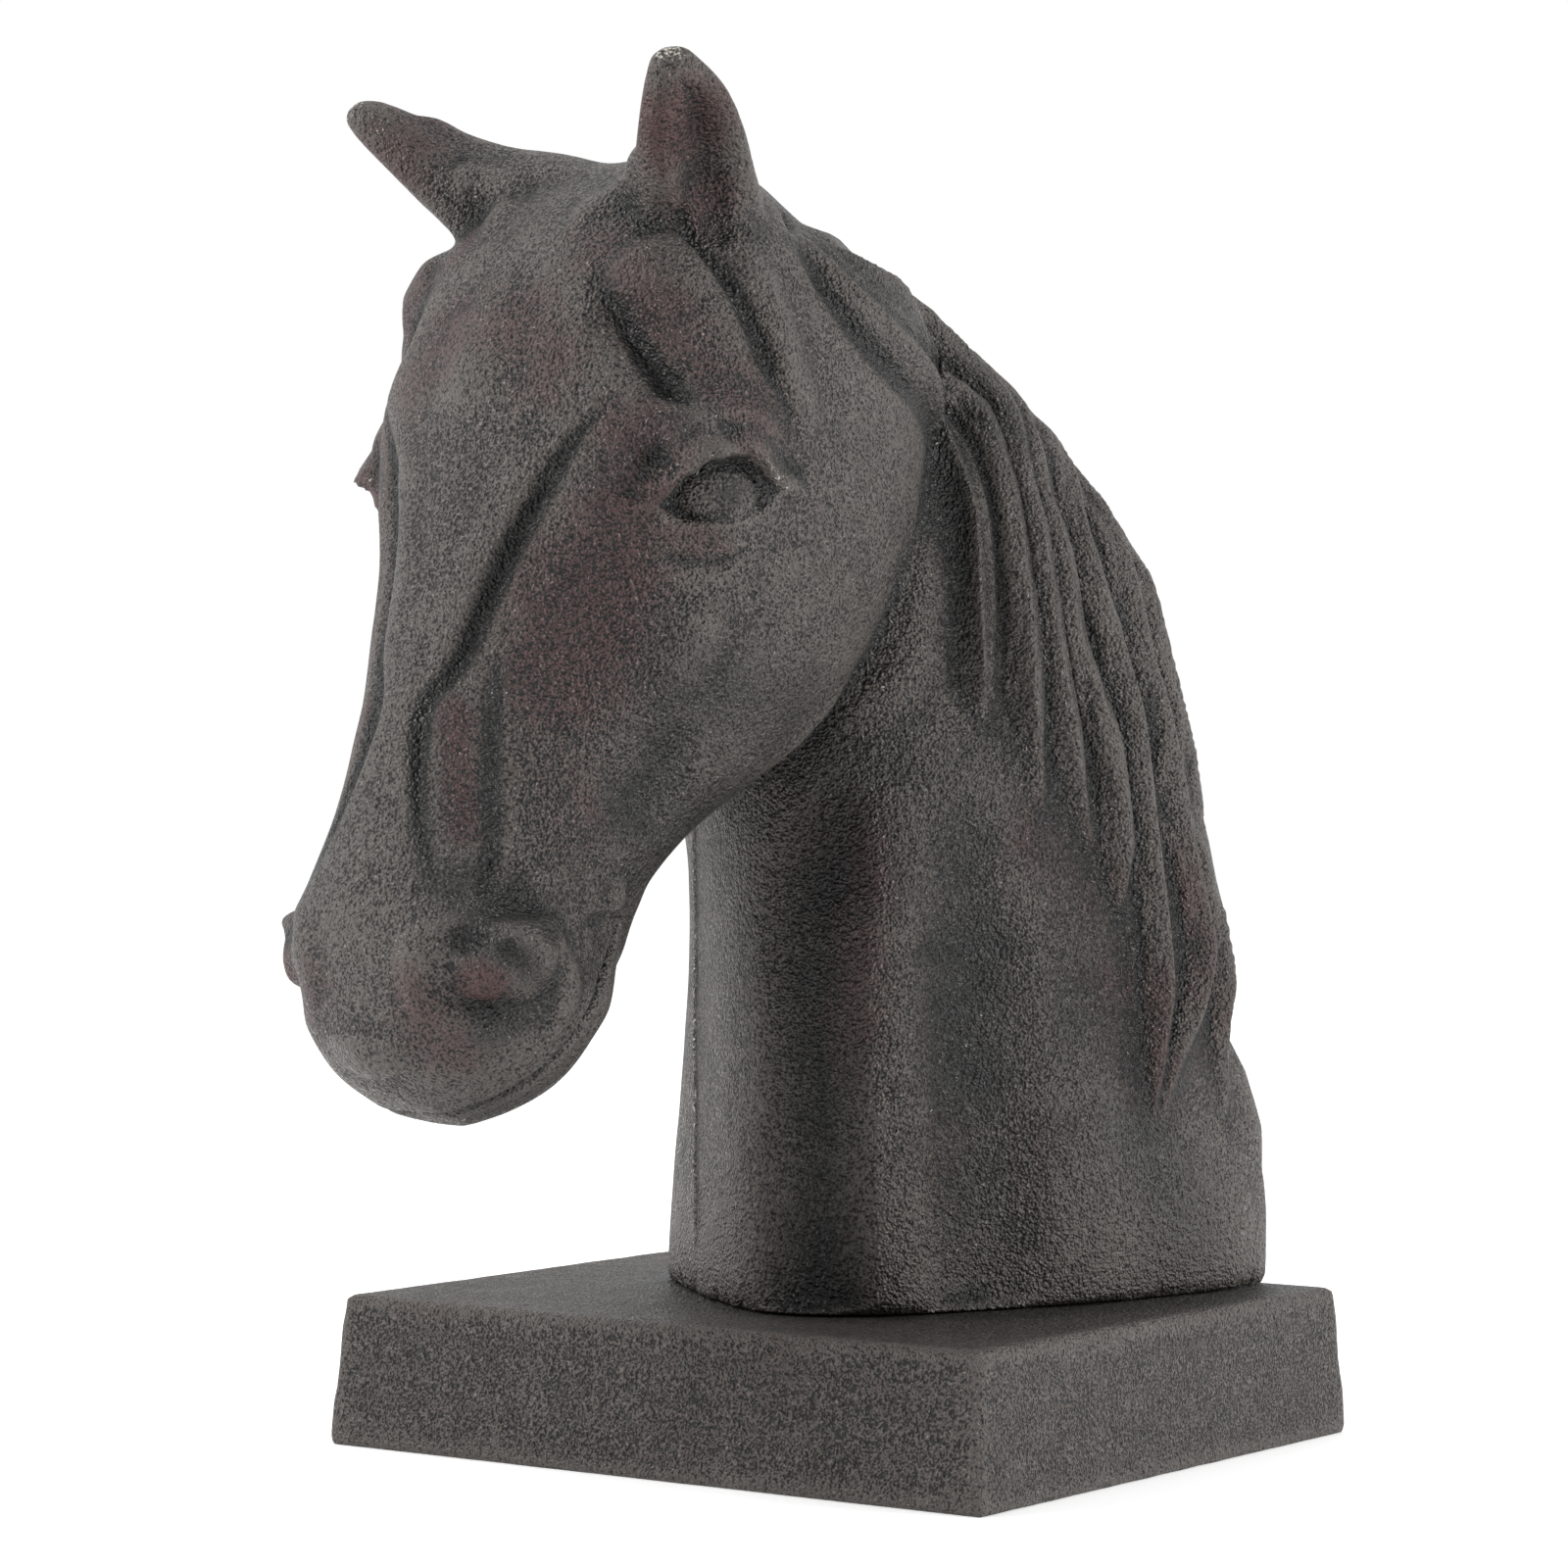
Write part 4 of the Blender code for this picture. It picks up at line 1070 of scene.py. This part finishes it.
def paintPatinaAndLight(mesh):
    # Attributes for warm places, soot and painted shade, ridges painted lighter as highlight, sleek places,
    # and places worn bare or painted with highlights
    tree = skinTree(mesh)
    places, normals = readMesh(mesh)
    dip, rise = cavities(mesh, places, normals, *bust["cavityRounds"])
    # Less soot and painted shade in the front hollow of each ear
    reach, strength = patinaAndLight["earLessSootShade"]
    for hand in (1.0, -1.0):
        rows, across, facing = earRows(hand)
        path = np.array([np.array(row[:3]) + np.array(facing) * row[4] for row in rows[1:]])
        dip *= 1 - strength * strokeShare(places, path, reach, 0.0, (0, 0))
    # Soot, painted shade and painted shadow from the lists, the locks and the left side, added to the dips,
    # which are darkened as soot in hollows and as painted shade
    sootAndShade = paintSpots(places, tree, patinaAndLight["sootAndShade"])
    for hand in (1.0, -1.0):
        locks = [(*patinaAndLight["lockSootAndShade"], *points) for points in handLocks(hand)]
        sootAndShade = np.maximum(sootAndShade, paintSpots(places, tree, locks, (hand,)))
    sootAndShade = np.maximum(sootAndShade, paintSpots(places, tree, patinaAndLight["leftSootAndShade"], (1.0,)))
    setAttribute(mesh, "hollow", np.clip(dip + sootAndShade, 0, patinaAndLight["hollowMost"]))
    # Ridges: how far the skin rises over its smooth form, painted lighter as a highlight
    setAttribute(mesh, "ridge", rise)
    setAttribute(mesh, "warm", paintSpots(places, tree, patinaAndLight["warm"]))
    setAttribute(mesh, "sleek", paintSpots(places, tree, patinaAndLight["sleek"]))
    # Parting line: partly worn bare and partly a painted highlight along its raised edge
    reach, strength = patinaAndLight["parting"]
    wornAndHighlight = strength * strokeShare(places, partingPath(tree), reach, 0, patinaAndLight["partingTapers"])
    wornAndHighlight = np.maximum(wornAndHighlight, paintSpots(places, tree, patinaAndLight["bareAndHighlight"]))
    reach, strength = patinaAndLight["earTip"]
    for hand in (1.0, -1.0):
        rows, across, facing = earRows(hand)
        gap = np.linalg.norm(places - np.array(rows[-1][:3]), axis=1) / reach
        wornAndHighlight = np.maximum(wornAndHighlight, strength * np.clip(1 - gap ** 2, 0, 1))
    setAttribute(mesh, "wornAndHighlight", wornAndHighlight)


def makeBust():
    voxel = bust["voxel"]
    forms = [neckForm(), headForm(), earForm(1.0), earForm(-1.0), webForm()]
    item = joinForms("horseCasting", forms, voxel)
    mesh = item.data
    print("bust joined:", len(mesh.vertices), "vertices")
    soften(mesh, round(4 / voxel ** 2) + 2)
    carve(mesh, headStrokes)
    hollowEars(mesh)
    soften(mesh, bust["softenLast"])
    carve(mesh, creaseStrokes)
    carve(mesh, leftStrokes, hands=(1.0,))
    carve(mesh, eyeStrokes)
    openEyes(mesh)
    carve(mesh, neckStrokes)
    markParting(mesh)
    print("head and neck carved")
    raiseMane(mesh, mane["sheet"], 1)
    raiseMane(mesh, mane["ridge"], 0)
    combHair(mesh)
    print("mane carved")
    roughCast(mesh, *bust["uneven"])
    decimate = item.modifiers.new("fewerFaces", "DECIMATE")
    decimate.ratio = min(1.0, bust["triangles"] / (2 * len(mesh.polygons)))
    bake(item)
    seatBust(item)
    paintPatinaAndLight(item.data)
    item.data.transform(Matrix.Diagonal((millimetre, millimetre, millimetre, 1.0)))
    item.data.transform(Matrix.Translation((0.0, 0.0, seatHeight)))
    item.data.shade_smooth()
    item.data.materials.append(makeIron("bustIron", *bust["iron"]))
    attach(item, "root")
    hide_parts("horse_bust")
    print("bust done:", len(item.data.polygons), "faces")


# Plinth: the draft of its sides, the rounding of its edges, the painted shadow round the bust's foot, and
# that foot on it by r and side
plinth = {
    "draft": 1.6,
    "corner": 0.8,
    "topEdge": 0.7,
    "foot": 0.6,
    "segments": 3,
    "voxel": 0.8,
    "cavityRounds": (3, 20),
    "uneven": (5.0, 0.07),
    "flatBelow": 0.3,
    "iron": (0.66, 0.9),
    "warm": 0.15,
    "footShadow": (11.0, 0.7),
    "footSteps": 40,
    "footLine": [
        (0, -4), (4, 22), (16, 33), (40, 33), (62, 24), (80, 14), (89, 0), (80, -14), (62, -24), (40, -33),
        (16, -33), (4, -22), (0, -4),
    ],
}


def roundEdges(form, edges, width):
    bmesh.ops.bevel(form, geom=edges, offset=width, offset_type="OFFSET", segments=plinth["segments"],
                    profile=0.5, affect="EDGES", material=-1)


def makePlinth():
    low, high = (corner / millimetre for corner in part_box("plinth"))
    form = bmesh.new()
    bmesh.ops.create_cube(form, size=1.0)
    for vert in form.verts:
        upper = vert.co.z > 0
        inset = plinth["draft"] if upper else 0.0
        vert.co.x = low.x + inset if vert.co.x < 0 else high.x - inset
        vert.co.y = low.y + inset if vert.co.y < 0 else high.y - inset
        vert.co.z = high.z if upper else low.z
    upright = [edge for edge in form.edges if edge.verts[0].co.z != edge.verts[1].co.z]
    roundEdges(form, upright, plinth["corner"])
    for level, width in ((high.z, plinth["topEdge"]), (low.z, plinth["foot"])):
        rim = [edge for edge in form.edges if all(abs(vert.co.z - level) < 1e-4 for vert in edge.verts)]
        roundEdges(form, rim, width)
    item = joinForms("plinthCasting", [form], plinth["voxel"])
    soften(item.data, 1)
    roughCast(item.data, *plinth["uneven"])
    places, normals = readMesh(item.data)
    heights = places[:, 2]
    places[:, 2] = np.where(heights < plinth["flatBelow"], np.maximum(heights, 0.0), heights)
    writeMesh(item.data, places)
    places, normals = readMesh(item.data)
    dip, rise = cavities(item.data, places, normals, *plinth["cavityRounds"])
    foot = np.array([neckPlace(r, high.z - low.z, side) for r, side in plinth["footLine"]])
    foot = np.array([rowAt(foot, k / plinth["footSteps"]) for k in range(plinth["footSteps"] + 1)])
    # Painted shadow round the bust's foot on the plinth's top, added to the darkening of its hollows as soot
    # and painted shade
    reach, strength = plinth["footShadow"]
    setAttribute(item.data, "hollow", dip + strength * strokeShare(places, foot, reach, 0, (0, 0)))
    # Ridges: the plinth's edges, painted lighter as a highlight
    setAttribute(item.data, "ridge", rise)
    setAttribute(item.data, "warm", np.full(len(places), plinth["warm"]))
    setAttribute(item.data, "wornAndHighlight", np.zeros(len(places)))
    setAttribute(item.data, "sleek", np.zeros(len(places)))
    item.data.transform(Matrix.Diagonal((millimetre, millimetre, millimetre, 1.0)))
    item.data.shade_smooth()
    item.data.materials.append(makeIron("plinthIron", *plinth["iron"]))
    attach(item, "root")
    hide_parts("plinth")
    print("plinth done:", len(item.data.polygons), "faces")


makeCamera()
makeLamps()
makeSky()
makeFloor()
print("studio ready")
makePlinth()
makeBust()
